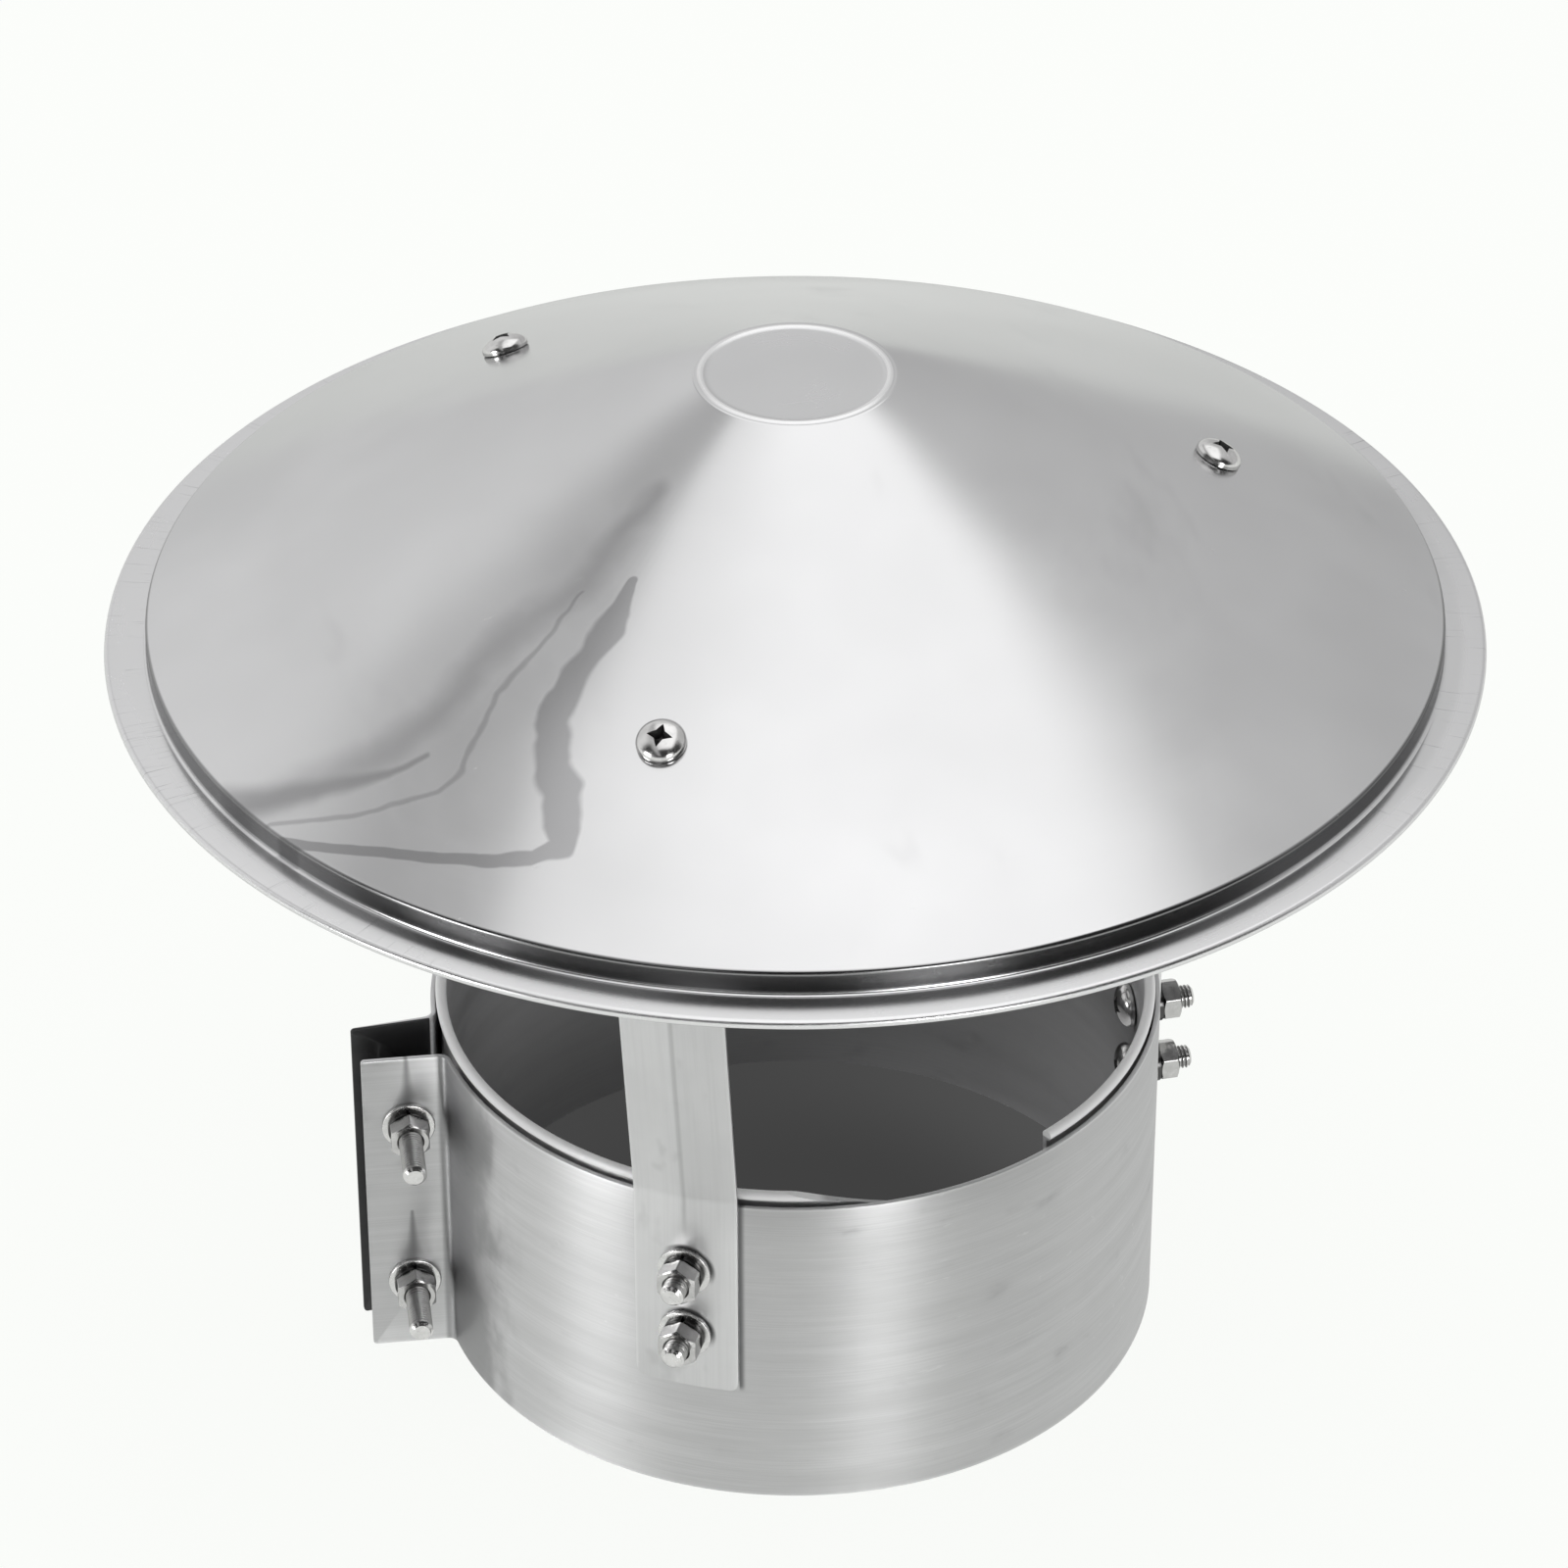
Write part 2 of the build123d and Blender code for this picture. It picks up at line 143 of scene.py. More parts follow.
class CapSizes(bpy.types.PropertyGroup):
    """Sizes of the spun cap."""

    radius: length("Radius", "Half the cap's width over the hem", 140)
    height: length("Height", "Height of the apex disc above the collar's foot", 224.7)
    sheet: length("Sheet", "Thickness of the spun sheet", 0.8)
    apex_radius: length("Apex radius", "Where the flat disc turns into the cone", 20.3)
    apex_round: length("Apex round", "Radius of the turn from disc to cone", 3.0)
    bead_inset: length("Bead inset", "From the apex radius in to the middle of the bead", 1.4)
    bead_width: length("Bead width", "Width of the raised ring on the disc", 1.6)
    bead_height: length("Bead height", "How far the ring stands up", 0.25)
    shoulder_height: length("Shoulder height", "Where the cone meets the step wall", 172.7)
    shoulder_round: length("Shoulder round", "Radius of the shoulder", 1.1)
    flange_width: length("Flange width", "From the step wall to the rim", 8.6)
    flange_height: length("Flange height", "Height of the flange's upper face", 167.6)
    flange_round: length("Flange round", "Radius where the wall runs into the flange", 0.7)
    hem_width: length("Hem width", "How far the edge is folded back under", 4.0)
    hem_thickness: length("Hem thickness", "Thickness over the folded edge", 2.0)


class CollarSizes(bpy.types.PropertyGroup):
    """Sizes of the clamp band and of the liner ring inside it."""

    bore_radius: length("Bore radius", "Radius of the flue pipe", 75)
    height: length("Height", "Height of the band", 75)
    sheet: length("Sheet", "Thickness of both sheets", 1.0)
    lug_gap: length("Lug gap", "Gap between the lugs at their roots", 13)
    lug_fold: length("Lug fold", "Outer radius of the fold at a lug's root", 2)
    lug_corner: length("Lug corner", "Radius of a lug's corners", 0.8)
    lug_reach: length("Lug reach", "Length of a lug from its root", 18.4)
    near_toe_in: tilt("Near toe-in", "How far the near lug leans to the far one", 6)
    far_toe_in: tilt("Far toe-in", "How far the far lug leans to the near one", 2)
    bolt_reach: length("Bolt reach", "From a lug's root to the clamp bolts", 9)
    bolt_inset: length("Bolt inset", "From the band's edges to the clamp bolts", 17)
    bolt_tip: length("Bolt tip", "How far a clamp bolt stands out of the near lug", 18.5)
    socket_depth: length("Socket depth", "Height of the straight part for the pipe", 33)
    draw_in: length("Draw in", "How far the liner narrows above the socket", 1.3)
    roll_radius: length("Roll radius", "Radius of the liner's rolled edge", 1.15)
    roll_height: length("Roll height", "Height of the middle of the rolled edge", 76.73)
    gap_start: tilt("Gap start", "Azimuth where the liner's gap starts", -87)
    gap_end: tilt("Gap end", "Azimuth where the liner's gap ends", -60)
    slant_length: length("Slant length", "Length of the slant cut at the liner's end", 24)
    slant_drop: length("Slant drop", "How far the slant falls below the band's edge", 2.4)


class LegSizes(bpy.types.PropertyGroup):
    """Sizes of the three strap legs."""

    sheet: length("Sheet", "Thickness of the strap", 1.0)
    width: length("Width", "Width of the strap", 22)
    foot_height: length("Foot height", "Height of the strap's lower end", 28)
    foot_corner: length("Foot corner", "Radius of the lower corners", 2.5)
    kink_height: length("Kink height", "Where the strap starts to lean out", 76.5)
    kink_radius: length("Kink radius", "Radius of the bend there", 9)
    top_radius: length("Top radius", "Distance from the axis at the top fold", 95)
    fold_radius: length("Fold radius", "Outer radius of the top fold", 2.5)
    tab_reach: length("Tab reach", "From the cap screw to the tab's end", 8.8)
    tab_corner: length("Tab corner", "Radius of the tab's corners", 4)
    upper_bolt: length("Upper bolt", "Height of the upper bolt", 58)
    bolt_spacing: length("Bolt spacing", "Distance between the two bolts", 16.1)
    bolt_tip: length("Bolt tip", "How far a bolt stands out of the strap", 9.6)
    crease_start: length("Crease start", "Height where the middle crease starts", 66)
    crease_end: length("Crease end", "Height where the middle crease ends", 180)
    crease_rise: length("Crease rise", "How far the crease stands out", 0.45)


class FastenerSizes(bpy.types.PropertyGroup):
    """Sizes of the screws, nuts and washers."""

    thread_radius: length("Thread radius", "Half the thread's diameter", 2.5)
    pitch: length("Pitch", "Pitch of the thread", 0.8)
    hole_clearance: length("Hole clearance", "Gap between thread and hole", 0.25)
    head_radius: length("Head radius", "Radius of the pan head", 4.9)
    head_height: length("Head height", "Height of the pan head", 3.2)
    recess_width: length("Recess width", "Width of the cross recess's arms at the middle", 2.7)
    recess_length: length("Recess length", "Length of the cross recess's slots", 6.0)
    recess_depth: length("Recess depth", "Depth of the cross recess", 2.1)
    nut_flats: length("Nut flats", "Width of the nut over its flats", 8)
    nut_height: length("Nut height", "Height of the nut", 4)
    washer_radius: length("Washer radius", "Radius of the flat washer", 5.6)
    washer_sheet: length("Washer sheet", "Thickness of the flat washer", 1)
    spring_radius: length("Spring washer radius", "Radius of the split washer", 4.4)
    spring_sheet: length("Spring washer sheet", "Thickness of the split washer", 1.2)
    spring_slit: length("Spring washer slit", "Width of the slit", 0.7)
    spring_lean: tilt("Spring washer lean", "Lean of the slit", 25)
    cap_screw_tip: length("Cap screw tip", "Length of a cap screw under its head", 11.5)
    snug: length("Snug", "Gap between faces that touch", 0.05)


class SteelLook(bpy.types.PropertyGroup):
    """Colours and polish of the steel."""

    cap: colour("Cap", "Polished sheet of the cap", (0.67, 0.67, 0.675))
    collar: colour("Collar", "Brushed sheet of the band", (0.65, 0.65, 0.655))
    liner: colour("Liner", "Brushed sheet of the liner", (0.60, 0.60, 0.605))
    leg: colour("Leg", "Satin strap", (0.66, 0.66, 0.665))
    fastener: colour("Fastener", "Bright screws and nuts", (0.66, 0.655, 0.65))
    stain: colour("Stain", "Smears and grime", (0.22, 0.22, 0.225))
    cap_polish: share("Cap polish", "Roughness of the cap", 0.15)
    collar_polish: share("Collar polish", "Roughness of the collar", 0.38)
    leg_polish: share("Leg polish", "Roughness of the legs", 0.36)
    fastener_polish: share("Fastener polish", "Roughness of the fasteners", 0.16)


class StageSettings(bpy.types.PropertyGroup):
    """The floor, the light and the studio that the steel mirrors."""

    floor_size: length("Floor size", "Width of the floor", 14000)
    lamp_size: length("Lamp size", "Width of the soft lamp overhead", 900)
    lamp_height: length("Lamp height", "Height of the lamp", 1800)
    lamp_power: FloatProperty(
        name="Lamp power", description="Power of the lamp", default=3.3, min=0.0, unit="POWER"
    )
    plain_light: share("Plain light", "Strength of the even light", 0.8)


def sizes_of(kind):
    """One of the scene's groups of sizes."""
    return getattr(bpy.context.scene, f"cowl_{kind}")


# Places


def polar(radius, azimuth, height):
    """The point at this radius, azimuth in degrees and height."""
    return Vector((radius * cos(radians(azimuth)), radius * sin(radians(azimuth)), height))


def seat(origin, along, outwards):
    """A place with its x along the face and its z out of it."""
    side = outwards.cross(along)
    turned = Matrix((along, side, outwards)).transposed().to_4x4()
    return Matrix.Translation(origin) @ turned


def lifted(place, distance):
    """The same seat, moved along its z."""
    return place @ Matrix.Translation((0, 0, distance))


def cone_fall():
    """How far the cap's cone falls for each metre outwards."""
    cap = sizes_of("cap")
    step_radius = cap.radius - cap.flange_width
    return (cap.height - cap.shoulder_height) / (step_radius - cap.apex_radius)


def cone_height(radius, depth=0.0):
    """The cone's height at this radius, at this depth under its upper face."""
    cap = sizes_of("cap")
    slope = atan2(cone_fall(), 1)
    return cap.height - (radius - cap.apex_radius) * cone_fall() - depth / cos(slope)


def cap_screw_radius():
    """How far from the axis the cap screws stand."""
    leg, fastener = sizes_of("leg"), sizes_of("fastener")
    return leg.top_radius - leg.sheet - 2 * fastener.snug - fastener.washer_radius


def cone_seat(azimuth, depth, outwards=True):
    """A seat square to the cone where a cap screw goes through it, at this depth."""
    slope = atan2(cone_fall(), 1)
    radius = cap_screw_radius()
    normal = polar(sin(slope), azimuth, cos(slope))
    along = UP.cross(polar(1, azimuth, 0))
    origin = polar(radius, azimuth, cone_height(radius)) - normal * depth
    return seat(origin, along, normal if outwards else -normal)


def wall_seat(radius, azimuth, height, outwards=True):
    """A seat on an upright wall at this radius."""
    normal = polar(1, azimuth, 0)
    return seat(polar(radius, azimuth, height), UP, normal if outwards else -normal)


def wall_sag(half_width, radius):
    """How far a wall of this radius falls away from a flat face at its edge."""
    return radius - sqrt(radius**2 - half_width**2)


def band_radii():
    """The band's inner and outer radius."""
    collar, fastener = sizes_of("collar"), sizes_of("fastener")
    inner = collar.bore_radius + collar.sheet + fastener.snug
    return inner, inner + collar.sheet


def leg_outer_radius():
    """The radius of a leg's outer face on the collar."""
    return band_radii()[1] + sizes_of("fastener").snug + sizes_of("leg").sheet


def liner_radius(height):
    """The inner radius of the liner at this height."""
    collar = sizes_of("collar")
    drawn = max(0.0, height - collar.socket_depth) / (collar.height - collar.socket_depth)
    return collar.bore_radius - collar.draw_in * drawn


def leg_bolt_heights():
    """The heights of the two bolts in each leg."""
    leg = sizes_of("leg")
    return {"lower": leg.upper_bolt - leg.bolt_spacing, "upper": leg.upper_bolt}


def clamp_bolt_heights():
    """The heights of the two clamp bolts."""
    collar = sizes_of("collar")
    return {"lower": collar.bolt_inset, "upper": collar.height - collar.bolt_inset}


def lug_line(side):
    """A lug's root on the band's inner face, the way it runs out and the way it faces."""
    collar = sizes_of("collar")
    half_gap = collar.lug_gap / 2
    lean = collar.near_toe_in if side < 0 else collar.far_toe_in
    root = Vector((-sqrt(band_radii()[0] ** 2 - half_gap**2), side * half_gap, 0))
    return root, Vector((-cos(lean), -side * sin(lean), 0)), Vector((-sin(lean), side * cos(lean), 0))


def clamp_nut_seat(height):
    """Where a clamp bolt comes out of the near lug."""
    collar = sizes_of("collar")
    root, run, face = lug_line(-1)
    return seat(root + run * collar.bolt_reach + face * collar.sheet + UP * height, UP, face)


def clamp_head_seat(height):
    """Where the washer under a clamp bolt's head clears the far lug and its fold."""
    collar, fastener = sizes_of("collar"), sizes_of("fastener")
    near = clamp_nut_seat(height).translation
    near_face = lug_line(-1)[2]
    root, run, face = lug_line(1)
    off_square = collar.near_toe_in + collar.far_toe_in
    depth = (collar.sheet - (near - root).dot(face)) / cos(off_square)
    reach = (near - near_face * depth - root).dot(run)
    fold_edge = collar.sheet + collar.lug_fold + fastener.washer_radius
    over_fold = min(collar.lug_fold, max(0.0, fold_edge - reach))
    clear = fastener.washer_radius * tan(off_square) + wall_sag(over_fold, collar.lug_fold) + fastener.snug
    return seat(near - near_face * (depth + clear), UP, -near_face)


def nut_seats():
    """The seats on which the washers and nuts stand, by the end of their names."""
    cap, leg, fastener = sizes_of("cap"), sizes_of("leg"), sizes_of("fastener")
    seats = {}
    cone_curve = cap_screw_radius() / sin(atan2(cone_fall(), 1))
    under_tab = cap.sheet + fastener.snug + leg.sheet + wall_sag(fastener.washer_radius, cone_curve)
    for side, azimuth in LEG_AZIMUTHS.items():
        seats["cap", side] = cone_seat(azimuth, under_tab, outwards=False)
        for row, height in leg_bolt_heights().items():
            seats["leg", f"{side}_{row}"] = wall_seat(leg_outer_radius(), azimuth, height)
    for row, height in clamp_bolt_heights().items():
        seats["clamp", row] = clamp_nut_seat(height)
    return seats


# Modelling by hand: each of these drives the edit mode's own tools


def deselect():
    """Leaves edit mode with nothing selected."""
    if bpy.context.mode != "OBJECT":
        bpy.ops.object.mode_set(mode="OBJECT")
    bpy.ops.object.select_all(action="DESELECT")


def choose(piece):
    """Makes this piece the only one selected."""
    deselect()
    piece.select_set(True)
    bpy.context.view_layer.objects.active = piece


def edit(piece, selected=False):
    """Opens this piece in edit mode with all or none of its mesh selected."""
    choose(piece)
    bpy.ops.object.mode_set(mode="EDIT")
    bpy.ops.mesh.select_mode(type="VERT")
    bpy.ops.mesh.select_all(action="SELECT" if selected else "DESELECT")


def open_mesh():
    """The mesh that is open in edit mode."""
    return bmesh.from_edit_mesh(bpy.context.object.data)


def select_all():
    """Selects the whole of the open mesh."""
    bpy.ops.mesh.select_all(action="SELECT")


def weld():
    """Merges vertices of the open mesh that lie in one place."""
    select_all()
    bpy.ops.mesh.remove_doubles(threshold=WELD_REACH)


def middle(part):
    """The middle of a vertex, edge or face."""
    corners = getattr(part, "verts", [part])
    return sum((corner.co for corner in corners), Vector()) / len(corners)


def pick(wanted, kind="VERT"):
    """Selects the vertices, edges or faces whose middle passes the test."""
    bpy.ops.mesh.select_mode(type=kind)
    bpy.ops.mesh.select_all(action="DESELECT")
    mesh = open_mesh()
    parts = {"VERT": mesh.verts, "EDGE": mesh.edges, "FACE": mesh.faces}[kind]
    found = [part for part in parts if wanted(middle(part))]
    if not found:
        raise RuntimeError(f"nothing to select on {bpy.context.object.name}")
    for part in found:
        part.select_set(True)
    if kind == "VERT":
        mesh.select_flush(True)
    bmesh.update_edit_mesh(bpy.context.object.data)


def near(point):
    """A test for the vertex at this point."""
    return lambda place: (place - point).length < SAME_PLACE


def finish_with(piece, kind, **settings):
    """Adds a modifier, sets it and applies it."""
    choose(piece)
    modifier = piece.modifiers.new(kind.lower(), kind)
    for name, value in settings.items():
        setattr(modifier, name, value)
    bpy.ops.object.modifier_apply(modifier=modifier.name)


def draw_line(name, points, closed=False):
    """A line of edges, drawn by extruding one vertex from point to point. Left open in edit mode."""
    deselect()
    bpy.ops.mesh.primitive_plane_add(size=MM)
    piece = bpy.context.object
    piece.name = name
    piece.data.name = name
    edit(piece, selected=True)
    bpy.ops.mesh.merge(type="CENTER")
    bpy.ops.transform.translate(value=points[0])
    extend_line(points)
    if closed:
        ends = [near(points[0]), near(points[-1])]
        pick(lambda place: any(end(place) for end in ends))
        bpy.ops.mesh.edge_face_add()
    return piece


def cut_off(point, outwards):
    """Cuts away what lies beyond a plane, and leaves the cut open."""
    select_all()
    bpy.ops.mesh.bisect(plane_co=point, plane_no=outwards, clear_outer=True, threshold=0.0001 * MM)


def extend_line(points):
    """Extrudes the selected vertex, which is at the first point, through the others."""
    for here, there in zip(points, points[1:]):
        bpy.ops.mesh.extrude_vertices_move(TRANSFORM_OT_translate={"value": Vector(there) - Vector(here)})


def round_corner(point, radius, segments=6):
    """Rounds one corner of a line or of a sheet's outline to this radius."""
    pick(near(point))
    mesh = open_mesh()
    corner = next(vertex for vertex in mesh.verts if vertex.select)
    outline = [edge for edge in corner.link_edges if len(edge.link_faces) < 2]
    ways = [edge.other_vert(corner).co - corner.co for edge in outline]
    setback = radius / tan(ways[0].angle(ways[1]) / 2)
    bpy.ops.mesh.bevel(
        offset=setback, offset_type="OFFSET", segments=segments, affect="VERTICES", profile=0.5
    )


def turn_about(centre, angle, steps):
    """Spins what is selected about an upright axis, anticlockwise from above."""
    bpy.ops.mesh.spin(steps=steps, angle=-angle, center=centre, axis=UP)


def tidy(outwards=None):
    """Merges doubles and turns the faces outwards. On an open sheet, the first face looks outwards."""
    weld()
    bpy.ops.mesh.normals_make_consistent(inside=False)
    if outwards is not None:
        mesh = open_mesh()
        face = min(mesh.faces, key=lambda face: (middle(face) - outwards[0]).length)
        if face.normal.dot(outwards[1]) < 0:
            bpy.ops.mesh.flip_normals()
    bpy.ops.object.mode_set(mode="OBJECT")


def lathe(name, points, rounds=(), steps=48, closed=False):
    """A solid turned about its own z: the line is drawn in the xz plane, its corners rounded, then spun."""
    points = [Vector((x, 0, z)) for x, z in points]
    piece = draw_line(name, points, closed)
    for index, radius in rounds:
        round_corner(points[index], radius)
    select_all()
    turn_about((0, 0, 0), FULL_TURN, steps)
    tidy()
    return piece


def combine(piece, cutter, operation):
    """Cuts, joins or meets a piece with another, which is then gone. New faces keep the cutter's material."""
    if not piece.data.materials:
        piece.data.materials.append(None)
    settings = {"operation": operation, "solver": "EXACT", "material_mode": "TRANSFER"}
    finish_with(piece, "BOOLEAN", object=cutter, **settings)
    bpy.data.objects.remove(cutter)


def drill(piece, places, reach=DRILL_REACH):
    """Drills a bolt's hole through the sheet at each place."""
    fastener = sizes_of("fastener")
    radius = fastener.thread_radius + fastener.hole_clearance
    drills = []
    for place in places:
        deselect()
        bpy.ops.mesh.primitive_cylinder_add(
            vertices=32, radius=radius, depth=reach, location=place.translation, rotation=place.to_euler()
        )
        drills.append(bpy.context.object)
    choose(drills[0])
    for other in drills[1:]:
        other.select_set(True)
    bpy.ops.object.join()
    combine(piece, bpy.context.object, "DIFFERENCE")


def thicken(piece, sheet):
    """Gives a sheet its thickness, inwards from its outer face."""
    finish_with(piece, "SOLIDIFY", thickness=sheet, offset=-1, use_even_offset=True)


def ease_edges(piece, width=EDGE_BREAK, segments=2, angle=50):
    """Breaks the sharp edges of a piece."""
    settings = {"width": width, "segments": segments, "limit_method": "ANGLE", "angle_limit": radians(angle)}
    finish_with(piece, "BEVEL", harden_normals=False, **settings)


def copy_to(pattern, name, place):
    """A copy of a pattern at a place, with its own mesh."""
    choose(pattern)
    bpy.ops.object.duplicate(linked=False)
    piece = bpy.context.object
    piece.name = name
    piece.data.name = name
    piece.matrix_world = place
    bpy.ops.object.transform_apply(location=True, rotation=True, scale=False)
    return piece


def settle(piece, node, material, smooth=32):
    """Gives a finished piece its steel, and lets it stand for its node and ride on that node's body."""
    choose(piece)
    bpy.ops.object.shade_smooth_by_angle(angle=radians(smooth))
    if not piece.data.materials:
        piece.data.materials.append(None)
    piece.data.materials[0] = material
    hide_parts(node)
    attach(piece, BODY_OF[node])


# Materials


class Wire:
    """A socket in a material's node tree. Python's operators add Math nodes to it."""

    def __init__(self, tree, socket=None):
        self.tree = tree
        self.socket = socket

    def node(self, kind, settings=None, inputs=None, output=0):
        """Adds a node, sets it, feeds its sockets and gives one of its outputs."""
        made = self.tree.nodes.new(kind)
        for name, value in (settings or {}).items():
            setattr(made, name, value)
        for name, value in (inputs or {}).items():
            if isinstance(value, Wire):
                self.tree.links.new(value.socket, made.inputs[name])
            else:
                made.inputs[name].default_value = value
        return Wire(self.tree, made.outputs[output] if made.outputs else None)

    def other(self, output):
        """Another output of the same node."""
        return Wire(self.tree, self.socket.node.outputs[output])

    def maths(self, operation, *values):
        """A Math node with this socket as its first value."""
        return self.node("ShaderNodeMath", {"operation": operation}, dict(enumerate((self, *values))))

    def __add__(self, other):
        return self.maths("ADD", other)

    __radd__ = __add__

    def __sub__(self, other):
        return self.maths("SUBTRACT", other)

    def __rsub__(self, other):
        return self.node("ShaderNodeMath", {"operation": "SUBTRACT"}, {0: other, 1: self})

    def __mul__(self, other):
        return self.maths("MULTIPLY", other)

    def __truediv__(self, other):
        return self.maths("DIVIDE", other)

    def ease(self, low, high):
        """0 up to the low value and 1 from the high one, with a soft step between."""
        settings = {"interpolation_type": "SMOOTHSTEP"}
        return self.node("ShaderNodeMapRange", settings, {"Value": self, "From Min": low, "From Max": high})

    def parts(self):
        """The x, y and z of a vector."""
        split = self.node("ShaderNodeSeparateXYZ", None, {0: self})
        return split, split.other("Y"), split.other("Z")

    def vector(self, x, y, z):
        """A vector put together from numbers or sockets."""
        return self.node("ShaderNodeCombineXYZ", None, {0: x, 1: y, 2: z})

    def noise(self, scale, detail=2.0, roughness=0.5):
        """Noise at this vector."""
        inputs = {"Vector": self, "Scale": scale, "Detail": detail, "Roughness": roughness}
        return self.node("ShaderNodeTexNoise", None, inputs)

    def tint(self, first, second):
        """The first colour where this mask is 0 and the second where it is 1."""
        return self.node("ShaderNodeMix", {"data_type": "RGBA"}, {0: self, 6: first, 7: second}, 2)

    def vector_maths(self, operation, other, output=0):
        """A Vector Math node with this vector as its first value."""
        return self.node("ShaderNodeVectorMath", {"operation": operation}, {0: self, 1: other}, output)

    def times(self, factor):
        """This colour, made brighter or darker by a factor that may vary."""
        return self.node("ShaderNodeVectorMath", {"operation": "SCALE"}, {0: self, "Scale": factor})

    def placed(self, turn=0.0, shift=(0.0, 0.0, 0.0), stretch=(1.0, 1.0, 1.0)):
        """This vector, turned about z, moved and stretched."""
        inputs = {"Vector": self, "Location": shift, "Rotation": (0.0, 0.0, turn), "Scale": stretch}
        return self.node("ShaderNodeMapping", None, inputs)


def new_material(name):
    """An empty material, and the wire that starts its nodes."""
    material = bpy.data.materials.new(name)
    material.use_nodes = True
    material.node_tree.nodes.clear()
    return material, Wire(material.node_tree)


def grey(value):
    """A neutral colour."""
    return (value, value, value, 1.0)


def scaled(tone, factor):
    """A colour made lighter or darker."""
    return (*(min(1.0, channel * factor) for channel in tone[:3]), 1.0)


def metal(wire, tone, roughness, height, depth, brushed=0.0, metallic=1.0):
    """Joins colour, roughness and relief to a metal shader. The relief's depth is in metres."""
    relief = wire.node("ShaderNodeBump", None, {"Strength": 1.0, "Distance": depth, "Height": height})
    inputs = {"Base Color": tone, "Metallic": metallic, "Roughness": roughness, "Normal": relief}
    inputs |= {"Anisotropic": brushed, "Anisotropic Rotation": 0.25 if brushed else 0.0}
    inputs |= {"Specular Tint": grey(0.75)}
    shader = wire.node("ShaderNodeBsdfPrincipled", None, inputs)
    wire.node("ShaderNodeOutputMaterial", None, {"Surface": shader})


def scratches(place, turn, scale, amount):
    """A mask of fine straight scratches running one way."""
    long_grain = place.placed(turn=turn, stretch=(0.06, 1.0, 1.0)).noise(scale, 4.0, 0.6)
    patches = place.noise(scale / 25, 2.0)
    return long_grain.ease(1 - amount, 1 - amount + 0.06) * patches.ease(0.45, 0.65)


def painted(tone, *layers):
    """A colour with others laid over it in turn, each through its own mask."""
    for mask, paint in layers:
        tone = mask.tint(tone, paint)
    return tone


def stroke(place, points, softness):
    """A mask along a drawn line: 1 on it, easing to 0 at its edges. Each point has its own half width."""
    nearest = 1.0
    for (here, half_here), (there, half_there) in zip(points, points[1:]):
        way = there - here
        from_start = place.vector_maths("SUBTRACT", here)
        dot = from_start.vector_maths("DOT_PRODUCT", way, 1)
        along = place.node("ShaderNodeMapRange", None, {"Value": dot, "From Max": way.length_squared})
        foot = place.node("ShaderNodeVectorMath", {"operation": "SCALE"}, {0: way, "Scale": along})
        gap = from_start.vector_maths("DISTANCE", foot, 1)
        nearest = (gap / (along * (half_there - half_here) + half_here)).maths("MINIMUM", nearest)
    return nearest.ease(1.0, 1.0 - softness)


def from_middle(x, y):
    """How far a place lies from the middle."""
    return (x * x + y * y).maths("SQRT")


def photo_right(x, y):
    """How far a place lies to the right in the photograph."""
    return x * cos(PHOTO_TURN) - y * sin(PHOTO_TURN)


